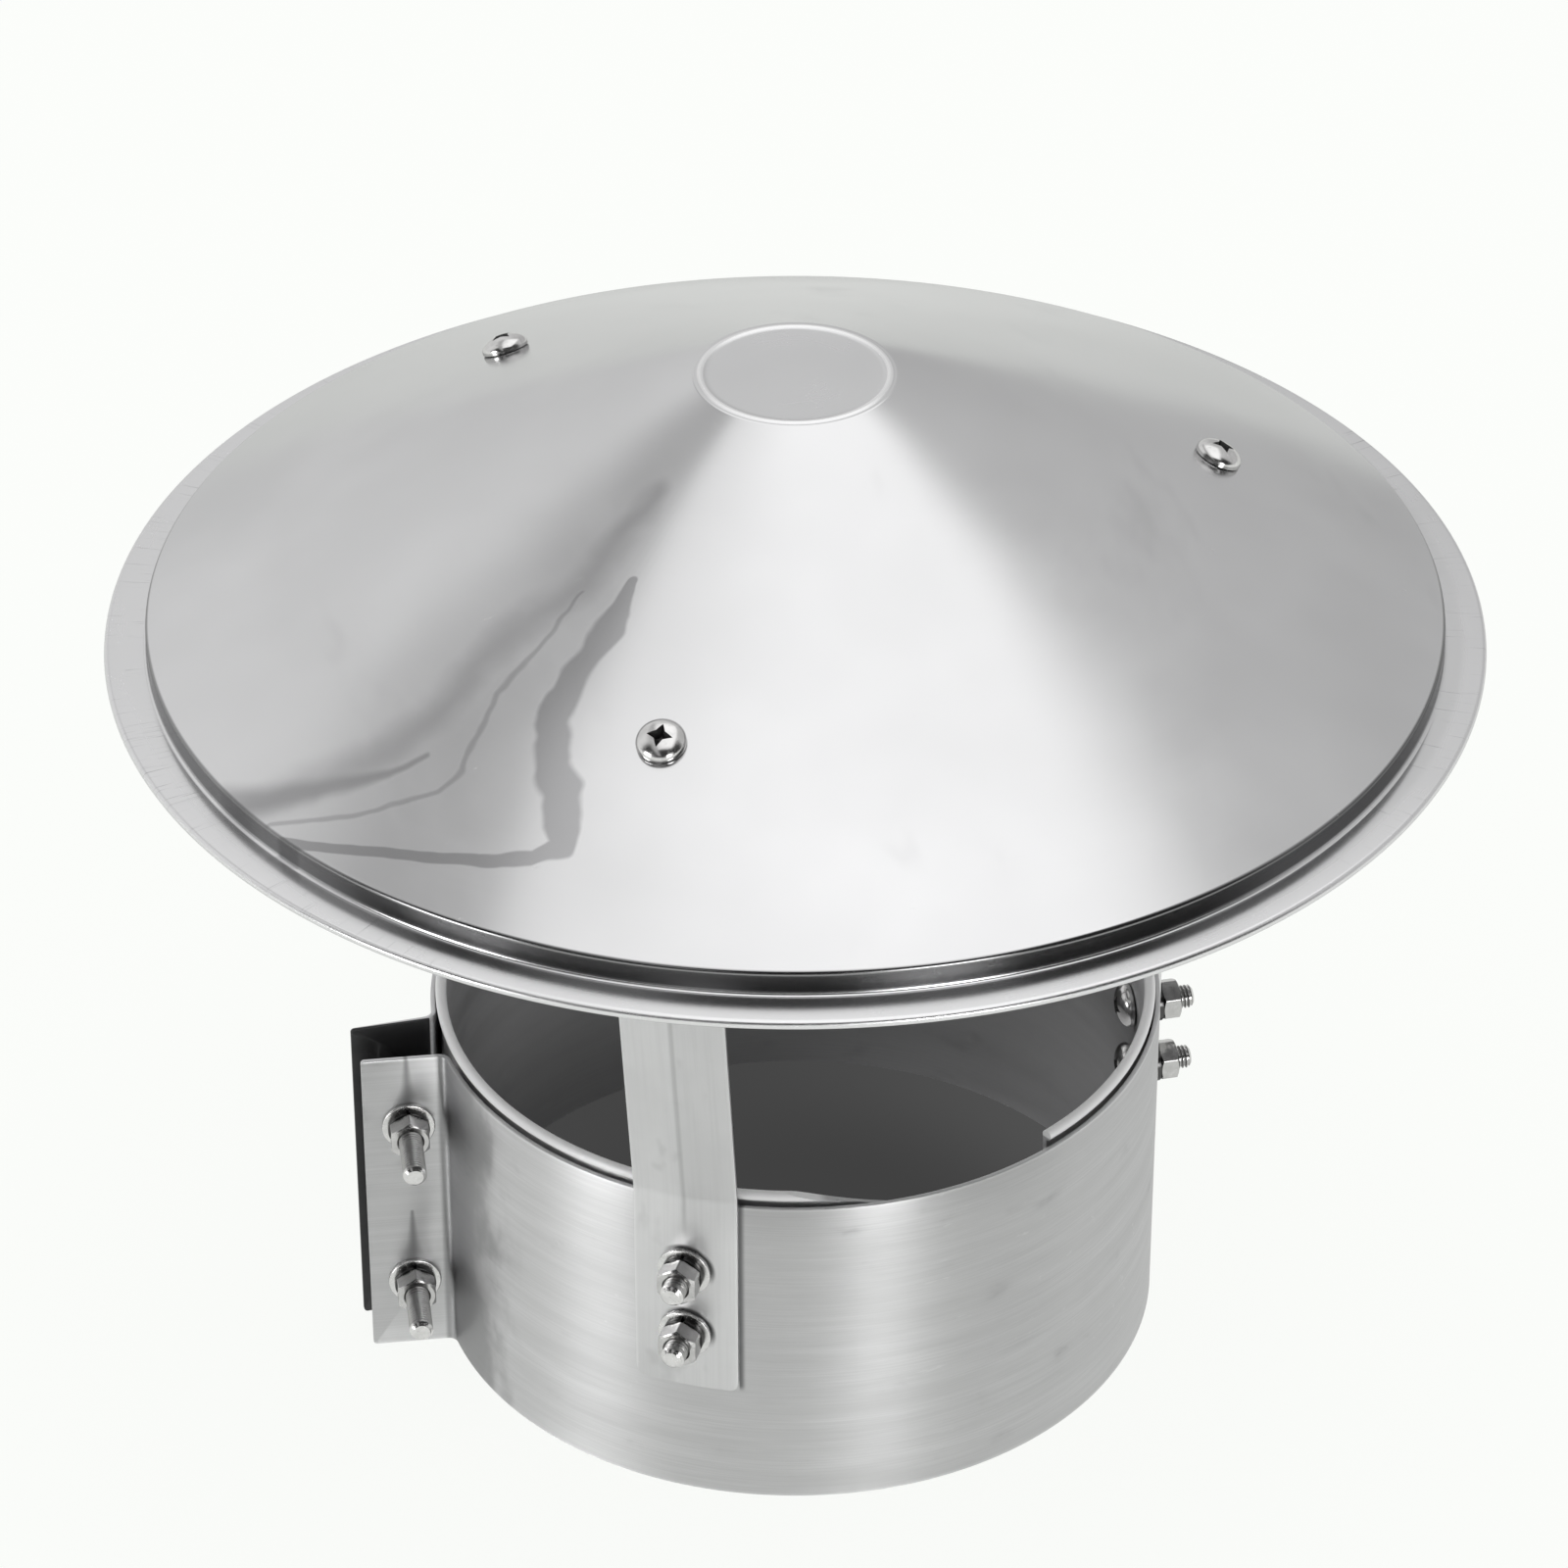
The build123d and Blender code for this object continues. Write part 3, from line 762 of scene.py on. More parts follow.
def cap_steel():
    """Polished spun sheet: soft waves, faint turning rings, wiped smears and a worn rim, with painted dark
    reflections in wavy lines and on the step wall, and a painted highlight on the bead.
    """
    look, cap = sizes_of("look"), sizes_of("cap")
    material, wire = new_material("polished_cap_steel")
    place = wire.node("ShaderNodeTexCoord", output="Object")
    x, y, z = place.parts()
    radius = from_middle(x, y)
    angle = y.maths("ARCTAN2", x)
    rings = wire.vector(radius * 900.0, angle * 0.8, 0.0).noise(1.0, 3.0, 0.6)
    clouds = place.noise(13.0, 3.0, 0.55)
    smears = place.placed(turn=0.5, stretch=(1.0, 0.35, 1.0)).noise(42.0, 3.0, 0.6)
    waves = place.placed(stretch=(1.0, 1.0, 0.4)).noise(19.0, 1.0, 0.4)
    fine = scratches(place, 0.9, 520.0, 0.3) + scratches(place, -0.5, 610.0, 0.29)
    wobble = place.noise(75.0, 2.0) * 0.005 - 0.0025
    flat = wire.vector(x + wobble, y - wobble, 0.0)
    front = -90 - degrees(PHOTO_TURN)
    # Painted reflections: dark wavy lines drawn into the cap's colour
    painted_reflections = []
    for line, softness, strength in PAINTED_REFLECTIONS:
        points = [(polar(r * MM, front + a, 0), half * MM) for a, r, half in line]
        painted_reflections.append((stroke(flat, points, softness) * strength, look.stain))
    step_radius = cap.radius - cap.flange_width
    flange = radius.ease(step_radius - 0.4 * MM, step_radius + 0.8 * MM)
    across = wire.vector(angle * 260.0, radius * 55.0, 0.0).noise(1.0, 3.0, 0.65)
    rim_marks = flange * across.ease(0.6, 0.72)
    rim = radius.ease(cap.radius - 0.9 * MM, cap.radius - 0.2 * MM)
    disc = radius.ease(cap.apex_radius - cap.bead_inset, cap.apex_radius - 2 * cap.bead_inset)
    # Painted highlight: the bead on the apex disc is made near white and less metallic
    from_bead = (radius - (cap.apex_radius - cap.bead_inset)).maths("ABSOLUTE")
    bead = from_bead.ease(cap.bead_width / 2, cap.bead_width / 4) * z.ease(cap.height - MM, cap.height)
    # Painted dark reflection: the step wall is darkened, a little more towards the right
    wall = radius.ease(step_radius - 0.7 * MM, step_radius - 0.2 * MM)
    wall = wall * z.ease(cap.flange_height + 0.7 * MM, cap.flange_height + 1.2 * MM)
    right_side = x.ease(20 * MM, 90 * MM)
    tone = painted(
        clouds.ease(0.3, 0.7).tint(scaled(look.cap, 0.94), scaled(look.cap, 1.05)),
        (smears.ease(0.62, 0.8) * 0.14, look.stain),
        *painted_reflections,
        (flange * 0.8, scaled(look.cap, 1.08)),
        (rim_marks * (1 - y.ease(-80 * MM, -125 * MM)) * 0.4, look.stain),
        (wall * (right_side * 0.2 + 0.72), scaled(look.stain, 0.4)),
        (bead * 0.6, grey(0.9)),
        (fine * 0.16, scaled(look.cap, 1.2)),
        (rim * 0.5, scaled(look.cap, 1.2)),
    )
    roughness = look.cap_polish + clouds.ease(0.35, 0.7) * 0.05 + smears.ease(0.5, 0.8) * 0.06
    outer = radius.ease(step_radius + 2.5 * MM, step_radius + 5 * MM)
    roughness = roughness + rings * 0.03 + outer * 0.1 + disc * 0.08 + fine * 0.12
    height = waves * 1.0 + rings * 0.004 + rim_marks * -0.01 + fine * -0.01
    metal(wire, tone, roughness, height, 0.45 * MM, metallic=1 - bead * 0.3)
    return material


def collar_steel(name, tone_start, polish):
    """Brushed sheet: fine horizontal grain, broad uneven sheen and rubbed edges, with painted shade inside
    and between the lugs, painted reflections beside the fold and above the clamp nuts, painted shadows beside
    the legs and a painted highlight on the rolled edge.
    """
    look, collar, leg = sizes_of("look"), sizes_of("collar"), sizes_of("leg")
    material, wire = new_material(name)
    place = wire.node("ShaderNodeTexCoord", output="Object")
    x, y, z = place.parts()
    around = y.maths("ARCTAN2", x) * collar.bore_radius
    grain = wire.vector(around * 42.0, z * 2400.0, 0.0).noise(1.0, 3.0, 0.62)
    bands = wire.vector(around * 20.0, z * 190.0, 3.0).noise(1.0, 3.0, 0.55)
    clouds = place.noise(27.0, 3.0, 0.5)
    stains = place.placed(stretch=(1.0, 1.0, 1.7)).noise(70.0, 3.0, 0.6)
    marks = scratches(place, 0.3, 420.0, 0.35)
    edges = z.ease(0.9 * MM, 0.2 * MM) + z.ease(collar.height - 0.9 * MM, collar.height - 0.2 * MM)
    radius = from_middle(x, y)
    outside = radius.ease(collar.bore_radius + 0.2 * MM, collar.bore_radius + 0.4 * MM)
    # Painted shade on the inner faces, darker towards the bottom and less so towards the right
    shaded_inside = 1 - outside
    roll = z.ease(collar.height + 0.9 * MM, collar.height + 1.5 * MM)
    inside_shade_depth = 0.75 - photo_right(x, y).ease(10 * MM, 75 * MM) * z.ease(0, 40 * MM) * 0.45
    half_gap = collar.lug_gap / 2
    # Painted shade on the far lug, in the gap between the lugs
    lug_gap_shade = y.ease(half_gap + 0.2 * MM, half_gap + 0.1 * MM) * y.ease(0, MM)
    near_lug = x.ease(-78 * MM, -79 * MM) * y.ease(0, -MM)
    # Painted reflection of the near lug: a dark soft band on the band's outer face beside its fold, with a
    # wavering edge
    smears = wire.vector(around * 90.0, z * 55.0, 5.0).noise(1.0, 3.0, 0.55).ease(0.35, 0.65)
    fold_edge = [radians(azimuth) * collar.bore_radius for azimuth in (-156, -168)]
    fold_reflection = (around - smears * 9 * MM).ease(*fold_edge) * outside * (1 - near_lug)
    # Painted reflections: a dark line up the near lug above each clamp nut
    nut_reflections = []
    flat = wire.vector(x, z, 0.0)
    for row in clamp_bolt_heights().values():
        side = clamp_nut_seat(row).translation.x
        line = [(Vector((side, row + rise * MM, 0)), half * MM) for rise, half in NUT_REFLECTION]
        nut_reflections.append((stroke(flat, line, 1.0) * near_lug * 0.7, look.stain))
    # Painted shadow: a thin dark line on the band's outer face beside one edge of each leg, above its foot
    leg_gap_shadows = []
    for azimuth in LEG_AZIMUTHS.values():
        ahead, beside, _ = place.placed(turn=-radians(azimuth)).parts()
        past_edge = beside - leg.width / 2
        edge = past_edge.ease(-0.2 * MM, 0) * past_edge.ease(1.4 * MM, 0.2 * MM)
        over_foot = z.ease(leg.foot_height - MM, leg.foot_height + MM)
        leg_gap_shadows.append((edge * outside * ahead.ease(0, MM) * over_foot, look.stain))
    tone = painted(
        bands.ease(0.3, 0.7).tint(scaled(tone_start, 0.93), scaled(tone_start, 1.06)),
        (shaded_inside * z.ease(66 * MM, -5 * MM) * inside_shade_depth, scaled(look.stain, 0.8)),
        (grain.ease(0.35, 0.7) * (outside * 0.4 + 0.1), scaled(tone_start, 0.88)),
        (stains.ease(0.64, 0.8) * outside * 0.22, look.stain),
        (marks * outside * 0.3, scaled(tone_start, 1.3)),
        (edges * outside * 0.5, scaled(tone_start, 1.3)),
        (lug_gap_shade * x.ease(-76 * MM, -77 * MM), scaled(look.stain, 0.3)),
        (fold_reflection * 0.6, look.stain),
        *nut_reflections,
        *leg_gap_shadows,
        # Painted highlight on the liner's rolled edge: near white, and less metallic below
        (roll * 0.95, grey(0.97)),
    )
    roughness = polish + grain * 0.1 + bands.ease(0.3, 0.7) * 0.05 + stains.ease(0.55, 0.8) * 0.08
    height = grain * 0.12 + bands * 0.1 + clouds * 3.0 + marks * outside * -0.05
    metal(wire, tone, roughness, height, 0.05 * MM, 0.85, 1 - roll * 0.75)
    return material


def leg_steel(side, azimuth):
    """Satin strap: nearly matt, with faint lengthwise grain, thumb marks and bright edges, and painted shade
    along the crease and round the washers.
    """
    look, leg, fastener = sizes_of("look"), sizes_of("leg"), sizes_of("fastener")
    material, wire = new_material(f"satin_leg_steel_{side}")
    place = wire.node("ShaderNodeTexCoord", output="Object").placed(turn=-radians(azimuth))
    x, y, z = place.parts()
    grain = wire.vector(y * 1500.0, z * 30.0, x * 30.0).noise(1.0, 3.0, 0.6)
    clouds = place.noise(48.0, 3.0, 0.55)
    thumbs = place.placed(stretch=(1.0, 1.0, 0.7)).noise(150.0, 2.0, 0.55)
    marks = scratches(place, 1.1, 480.0, 0.35)
    edges = y.maths("ABSOLUTE").ease(leg.width / 2 - 0.7 * MM, leg.width / 2 - 0.1 * MM)
    # Painted shade along the crease: a darker line down its middle, and one half of the strap a little darker
    creased = z.ease(leg.crease_start - 2 * MM, leg.crease_start + 8 * MM)
    crease = y.maths("ABSOLUTE").ease(0.8 * MM, 0.1 * MM) * creased
    shades = []
    for bolt in leg_bolt_heights().values():
        up = z - bolt
        reach = from_middle(y, up) - fastener.washer_radius
        shade = reach.ease(1.1 * MM, 0.2 * MM) * (up * 0.8 + y * 0.6).ease(0, 4.5 * MM)
        shades.append((shade * 0.85, scaled(look.stain, 0.3)))
    tone = painted(
        clouds.ease(0.3, 0.7).tint(scaled(look.leg, 0.95), scaled(look.leg, 1.05)),
        (thumbs.ease(0.6, 0.75) * 0.16, look.stain),
        (grain.ease(0.4, 0.7) * 0.3, scaled(look.leg, 0.9)),
        (marks * 0.25, scaled(look.leg, 1.25)),
        (edges * 0.5, scaled(look.leg, 1.2)),
        (crease * 0.3 + creased * y.ease(-0.2 * MM, 0.4 * MM) * 0.1, look.stain),
        *shades,
    )
    roughness = look.leg_polish + clouds.ease(0.3, 0.7) * 0.08 + grain * 0.06
    height = grain * 0.1 + clouds * 1.0 + thumbs * 0.4
    metal(wire, tone, roughness, height, 0.04 * MM)
    return material


def fastener_steel(name, tone_start, polish):
    """Bright turned steel: mottled, with fine tool marks and some grime."""
    look = sizes_of("look")
    material, wire = new_material(name)
    place = wire.node("ShaderNodeTexCoord", output="Object")
    mottle = place.noise(420.0, 3.0, 0.55)
    grime = place.noise(900.0, 2.0, 0.6)
    tooling = place.placed(turn=0.6, stretch=(0.2, 1.0, 1.0)).noise(3200.0, 2.0, 0.5)
    tone = mottle.ease(0.3, 0.7).tint(scaled(tone_start, 0.92), scaled(tone_start, 1.08))
    tone = (grime.ease(0.6, 0.78) * 0.3).tint(tone, look.stain)
    roughness = polish + mottle.ease(0.35, 0.75) * 0.08 + grime.ease(0.6, 0.8) * 0.12
    height = tooling * 0.15 + mottle * 1.0
    metal(wire, tone, roughness, height, 0.012 * MM)
    return material


# The pieces


class COWL_OT_cap(bpy.types.Operator):
    """Spins the cap from its profile and folds the hem under its rim"""

    bl_idname = "cowl.cap"
    bl_label = "Cap"

    def execute(self, context):
        cap = sizes_of("cap")
        bead = cap.apex_radius - cap.bead_inset
        flank = cap.bead_width / 2 - 2.1 * cap.bead_height
        step_radius = cap.radius - cap.flange_width
        fold = cap.hem_thickness / 2
        hole_ring = [cap_screw_radius() - 8 * MM, cap_screw_radius() + 8 * MM]
        profile = [
            (0, cap.height),
            (bead - cap.bead_width, cap.height),
            (bead - cap.bead_width / 2, cap.height),
            (bead - flank, cap.height + cap.bead_height),
            (bead + flank, cap.height + cap.bead_height),
            (bead + cap.bead_width / 2, cap.height),
            (cap.apex_radius, cap.height),
            (hole_ring[0], cone_height(hole_ring[0])),
            (hole_ring[1], cone_height(hole_ring[1])),
            (step_radius, cap.shoulder_height),
            (step_radius, cap.flange_height),
            (cap.radius - fold, cap.flange_height),
        ]
        points = [Vector((x, 0, z)) for x, z in profile]
        piece = draw_line("spun_cap", points)
        hem_middle = Vector((cap.radius - fold, 0, cap.flange_height - fold))
        pick(near(points[-1]))
        bpy.ops.mesh.spin(steps=10, angle=pi, center=hem_middle, axis=(0, -1, 0))
        folded_at = Vector((cap.radius - fold, 0, cap.flange_height - cap.hem_thickness))
        folded_to = Vector((cap.radius - cap.hem_width, 0, folded_at.z))
        pick(near(folded_at))
        extend_line([folded_at, folded_to])
        round_corner(points[10], cap.flange_round, FOLD_STEPS)
        round_corner(points[9], cap.shoulder_round, 10)
        round_corner(points[6], cap.apex_round / 2, 6)
        select_all()
        turn_about((0, 0, 0), FULL_TURN, CAP_STEPS)
        tidy((Vector((0, 0, cap.height)), UP))
        thicken(piece, cap.sheet)
        drill(piece, [cone_seat(azimuth, 0) for azimuth in LEG_AZIMUTHS.values()])
        settle(piece, "cap", cap_steel())
        return {"FINISHED"}


def leg_bolt_places(radius):
    """The leg bolts' places on a wall of this radius."""
    return [
        wall_seat(radius, azimuth, height)
        for azimuth in LEG_AZIMUTHS.values()
        for height in leg_bolt_heights().values()
    ]


def lug_fold(side, inner):
    """The fold at a lug's root: its middle, its ends on the lug and on the band, and its angle."""
    collar = sizes_of("collar")
    root, run, face = lug_line(side)
    bend = collar.lug_fold + collar.sheet
    start = root + face * bend
    reach = inner + bend
    along = start.dot(run)
    out = -along + sqrt(along**2 - start.length_squared + reach**2)
    centre = start + run * out
    on_lug = centre - face * bend
    on_band = centre * (inner / reach)
    angle = (on_lug - centre).angle(on_band - centre)
    return centre, on_lug, on_band, angle


class COWL_OT_band(bpy.types.Operator):
    """Bends the clamp band round the liner and folds its two ends out as lugs"""

    bl_idname = "cowl.band"
    bl_label = "Clamp band"

    def execute(self, context):
        collar, look = sizes_of("collar"), sizes_of("look")
        inner = band_radii()[0]
        near_root, near_run, _ = lug_line(-1)
        far_root, far_run, _ = lug_line(1)
        near_tip = near_root + near_run * collar.lug_reach
        far_tip = far_root + far_run * collar.lug_reach
        far_centre, far_on_lug, far_on_band, far_angle = lug_fold(1, inner)
        near_centre, near_on_lug, near_on_band, near_angle = lug_fold(-1, inner)
        around = FULL_TURN - far_on_band.angle(near_on_band)
        piece = draw_line("clamp_band_sheet", [far_tip, far_on_lug])
        turn_about(far_centre, far_angle, FOLD_STEPS)
        pick(near(far_on_band))
        turn_about((0, 0, 0), -around, BAND_STEPS)
        pick(near(near_on_band))
        turn_about(near_centre, near_angle, FOLD_STEPS)
        pick(near(near_on_lug))
        extend_line([near_on_lug, near_tip])
        past_hole = 6 * MM
        rows = [height + way * past_hole for height in leg_bolt_heights().values() for way in (-1, 1)]
        levels = [0, *rows, collar.height]
        for low, high in zip(levels, levels[1:]):
            pick(lambda place: abs(place.z - low) < SAME_PLACE)
            bpy.ops.mesh.extrude_region_move(TRANSFORM_OT_translate={"value": (0, 0, high - low)})
        for tip in (near_tip, far_tip):
            for level in (0, collar.height):
                round_corner(tip + UP * level, collar.lug_corner)
        front = wall_seat(inner, 0, collar.height / 2)
        tidy((front.translation, -front.col[2].to_3d()))
        thicken(piece, collar.sheet)
        ease_edges(piece)
        drill(piece, leg_bolt_places(inner))
        between_lugs = -7 * MM
        middles = [lifted(clamp_nut_seat(height), between_lugs) for height in clamp_bolt_heights().values()]
        drill(piece, middles, CLAMP_DRILL_REACH)
        material = collar_steel("brushed_band_steel", look.collar, look.collar_polish)
        settle(piece, "clamp_band", material)
        return {"FINISHED"}


class COWL_OT_liner(bpy.types.Operator):
    """Rolls the liner ring, with its edge curled outwards and one end cut on a slant"""

    bl_idname = "cowl.liner"
    bl_label = "Liner ring"

    def execute(self, context):
        collar, look = sizes_of("collar"), sizes_of("look")
        roll = collar.roll_radius
        roll_middle = liner_radius(collar.roll_height) + roll
        under = collar.roll_height - roll * 0.97
        outer_top = liner_radius(under) + collar.sheet
        profile = [
            (collar.bore_radius, 0),
            (collar.bore_radius, collar.socket_depth),
            (liner_radius(collar.roll_height), collar.roll_height),
        ]
        steps = 18
        curl_angles = [step / steps * 1.5 * pi for step in range(1, steps + 1)]
        curl = [(roll_middle - roll * cos(a), collar.roll_height + roll * sin(a)) for a in curl_angles]
        back = [
            (outer_top, under),
            (collar.bore_radius + collar.sheet, collar.socket_depth),
            (collar.bore_radius + collar.sheet, 0),
        ]
        start = degrees(collar.gap_end)
        points = [polar(x, start, z) for x, z in profile + curl + back]
        piece = draw_line("liner_sheet", points, closed=True)
        select_all()
        turn_about((0, 0, 0), FULL_TURN - (collar.gap_end - collar.gap_start), LINER_STEPS)
        weld()
        bpy.ops.mesh.select_all(action="DESELECT")
        bpy.ops.mesh.select_non_manifold()
        bpy.ops.mesh.fill_holes(sides=0)
        tidy()
        slant = wall_seat(liner_radius(collar.height), degrees(collar.gap_start), 0)
        along = slant.col[1].to_3d()
        reach = slant.col[2].to_3d() * DRILL_REACH
        top = collar.roll_height + 3 * roll
        low = collar.height - collar.slant_drop
        before, end = -6 * MM, collar.slant_length
        slope = [(before, low), (0, low), (end, collar.roll_height + roll * 1.2), (end, top), (before, top)]
        corners = [slant.translation - reach + along * run + UP * height for run, height in slope]
        wedge = draw_line("slant_cut", corners, closed=True)
        select_all()
        bpy.ops.mesh.edge_face_add()
        bpy.ops.mesh.extrude_region_move(TRANSFORM_OT_translate={"value": reach * 2})
        tidy()
        combine(piece, wedge, "DIFFERENCE")
        drill(piece, leg_bolt_places(collar.bore_radius))
        ease_edges(piece, EDGE_BREAK / 2, 1, 60)
        material = collar_steel("brushed_liner_steel", look.liner, look.collar_polish)
        settle(piece, "liner_ring", material)
        return {"FINISHED"}


def crease_factor(azimuth, half_angle, rise):
    """How much a point at this azimuth moves out or in, to lie on the flat side of the crease."""
    top = (1 + rise) * sin(half_angle)
    return top / (sin(abs(azimuth)) * (1 + rise - cos(half_angle)) + cos(azimuth) * sin(half_angle))


class COWL_OT_legs(bpy.types.Operator):
    """Bends one strap leg, creases it along its middle and copies it round"""

    bl_idname = "cowl.legs"
    bl_label = "Legs"

    def execute(self, context):
        cap, leg, fastener = sizes_of("cap"), sizes_of("leg"), sizes_of("fastener")
        outer = leg_outer_radius()
        under = cap.sheet + fastener.snug
        tab_end = cap_screw_radius() - leg.tab_reach
        fold_height = cone_height(leg.top_radius, under)
        lean = (leg.top_radius - outer) / (fold_height - leg.kink_height)
        between_bolts = leg.upper_bolt - 12 * MM
        fade = 5 * MM
        creased = [leg.crease_start + fade, leg.crease_end, leg.crease_end + fade]
        leaning = [(outer + (height - leg.kink_height) * lean, height) for height in creased[1:]]
        profile = [
            (outer, leg.foot_height),
            (outer, between_bolts),
            (outer, leg.crease_start),
            (outer, creased[0]),
            (outer, leg.kink_height),
            *leaning,
            (leg.top_radius, fold_height),
            (tab_end, cone_height(tab_end, under)),
        ]
        points = [Vector((x, 0, z)) for x, z in profile]
        piece = draw_line("strap_leg", points)
        round_corner(points[4], leg.kink_radius)
        round_corner(points[7], leg.fold_radius, FOLD_STEPS)
        select_all()
        columns = 12
        half_angle = radians(8.2)
        about_axis = {"orient_axis": "Z", "orient_type": "GLOBAL", "center_override": (0, 0, 0)}
        bpy.ops.transform.rotate(value=half_angle, **about_axis)
        side = 1 if next(iter(open_mesh().verts)).co.y > 0 else -1
        turn_about((0, 0, 0), -side * 2 * half_angle, columns)
        weld()
        for column in range(1, columns):
            azimuth = half_angle * (2 * column / columns - 1)
            factor = crease_factor(azimuth, half_angle, leg.crease_rise / outer)
            pick(
                lambda place: abs(atan2(place.y, place.x) - azimuth) < 0.001
                and leg.crease_start + MM < place.z < leg.crease_end + MM
            )
            bpy.ops.transform.resize(value=(factor, factor, 1), center_override=(0, 0, 0))
        for way in (-1, 1):
            cut_off((0, way * leg.width / 2, 0), (0, way, 0))
        weld()
        foot = outer, leg.foot_height, leg.foot_corner
        tab = tab_end, cone_height(tab_end, under), leg.tab_corner
        for radius, height, corner in (foot, tab):
            for way in (-1, 1):
                edge = way * leg.width / 2
                corners = [
                    vertex.co.copy()
                    for vertex in open_mesh().verts
                    if abs(vertex.co.y - edge) < SAME_PLACE
                    and abs(vertex.co.z - height) < 1.2 * MM
                    and abs(hypot(vertex.co.x, vertex.co.y) - radius) < 0.6 * MM
                ]
                round_corner(min(corners, key=lambda place: abs(place.z - height)), corner)
        tidy((Vector((outer, 0, 45 * MM)), Vector((1, 0, 0))))
        thicken(piece, leg.sheet)
        ease_edges(piece)
        drill(piece, [wall_seat(outer, 0, height) for height in leg_bolt_heights().values()], LEG_DRILL_REACH)
        in_tab = 1.4 * MM
        drill(piece, [cone_seat(0, in_tab)], LEG_DRILL_REACH)
        for name, azimuth in LEG_AZIMUTHS.items():
            copy = copy_to(piece, f"strap_leg_{name}", Matrix.Rotation(radians(azimuth), 4, "Z"))
            settle(copy, f"leg_{name}", leg_steel(name, azimuth))
        bpy.data.objects.remove(piece)
        return {"FINISHED"}


def ring(name, bore, radius, sheet, rounds):
    """A flat ring, turned from its section."""
    section = [(bore, 0), (radius, 0), (radius, sheet), (bore, sheet)]
    return lathe(name, section, rounds, ROUND_STEPS, closed=True)


class COWL_OT_washers(bpy.types.Operator):
    """Turns the flat washers and the split spring washers and lays them on their seats"""

    bl_idname = "cowl.washers"
    bl_label = "Washers"

    def execute(self, context):
        fastener, look = sizes_of("fastener"), sizes_of("look")
        material = fastener_steel("washer_steel", look.fastener, look.fastener_polish + 0.06)
        # Painted shade: the spring washers get a near-black steel, for the shade between washer and nut
        dark = fastener_steel("spring_washer_shade_steel", scaled(look.fastener, 0.12), look.fastener_polish)
        rounds = [(1, EDGE_BREAK), (2, 0.3 * MM), (3, EDGE_BREAK)]
        bore = fastener.thread_radius + 0.15 * MM
        flat = ring("flat_washer", bore, fastener.washer_radius, fastener.washer_sheet, rounds)
        rounds = [(index, 0.15 * MM) for index in range(4)]
        bore = fastener.thread_radius + 0.1 * MM
        spring = ring("spring_washer", bore, fastener.spring_radius, fastener.spring_sheet, rounds)
        deselect()
        slit_place = (5 * MM, 0, fastener.spring_sheet / 2)
        bpy.ops.mesh.primitive_cube_add(size=1, location=slit_place, rotation=(fastener.spring_lean, 0, 0))
        slit = bpy.context.object
        edit(slit, selected=True)
        bpy.ops.transform.resize(value=(10 * MM, fastener.spring_slit, 8 * MM))
        combine(spring, slit, "DIFFERENCE")
        for (kind, end), place in nut_seats().items():
            node = f"{kind}_washer_{end}"
            settle(copy_to(flat, f"turned_{node}", lifted(place, fastener.snug)), node, material)
            node = f"{kind}_spring_washer_{end}"
            rise = fastener.washer_sheet + 2 * fastener.snug
            settle(copy_to(spring, f"turned_{node}", lifted(place, rise)), node, dark)
        for row, height in clamp_bolt_heights().items():
            node = f"clamp_head_washer_{row}"
            settle(copy_to(flat, f"turned_{node}", clamp_head_seat(height)), node, material)
        for pattern in (flat, spring):
            bpy.data.objects.remove(pattern)
        return {"FINISHED"}


class COWL_OT_nuts(bpy.types.Operator):
    """Cuts one chamfered hexagon nut and copies it to every bolt"""

    bl_idname = "cowl.nuts"
    bl_label = "Nuts"

    def execute(self, context):
        fastener, look = sizes_of("fastener"), sizes_of("look")
        corner = fastener.nut_flats / 2 / cos(pi / 6)
        top = fastener.nut_height
        deselect()
        bpy.ops.mesh.primitive_cylinder_add(
            vertices=6, radius=corner, depth=top, location=(0, 0, top / 2), rotation=(0, 0, pi / 6)
        )
        nut = bpy.context.object
        nut.name = "hex_nut"
        bpy.ops.object.transform_apply(location=True, rotation=True, scale=False)
        edit(nut)
        pick(lambda place: abs(place.z - top / 2) < 0.1 * MM and place.to_2d().length > corner * 0.98, "EDGE")
        bpy.ops.mesh.bevel(offset=0.22 * MM, segments=3, affect="EDGES")
        flat = fastener.nut_flats / 2 * 0.95
        wide = corner + 0.3 * MM
        drop = (wide - flat) * tan(radians(30))
        turned = [(0, 0), (flat, 0), (wide, drop), (wide, top - drop), (flat, top), (0, top)]
        combine(nut, lathe("nut_chamfer", turned, (), ROUND_STEPS), "INTERSECT")
        bore = fastener.thread_radius + fastener.snug
        sink = 0.35 * MM
        wide = bore + sink + MM
        hole = [(0, -MM), (wide, -MM), (bore, sink), (bore, top - sink), (wide, top + MM), (0, top + MM)]
        combine(nut, lathe("nut_bore", hole), "DIFFERENCE")
        material = fastener_steel("nut_steel", scaled(look.fastener, 0.8), look.fastener_polish)
        rise = fastener.washer_sheet + fastener.spring_sheet + 3 * fastener.snug
        for (kind, end), place in nut_seats().items():
            node = f"{kind}_nut_{end}"
            settle(copy_to(nut, f"cut_{node}", lifted(place, rise)), node, material, 24)
        bpy.data.objects.remove(nut)
        return {"FINISHED"}


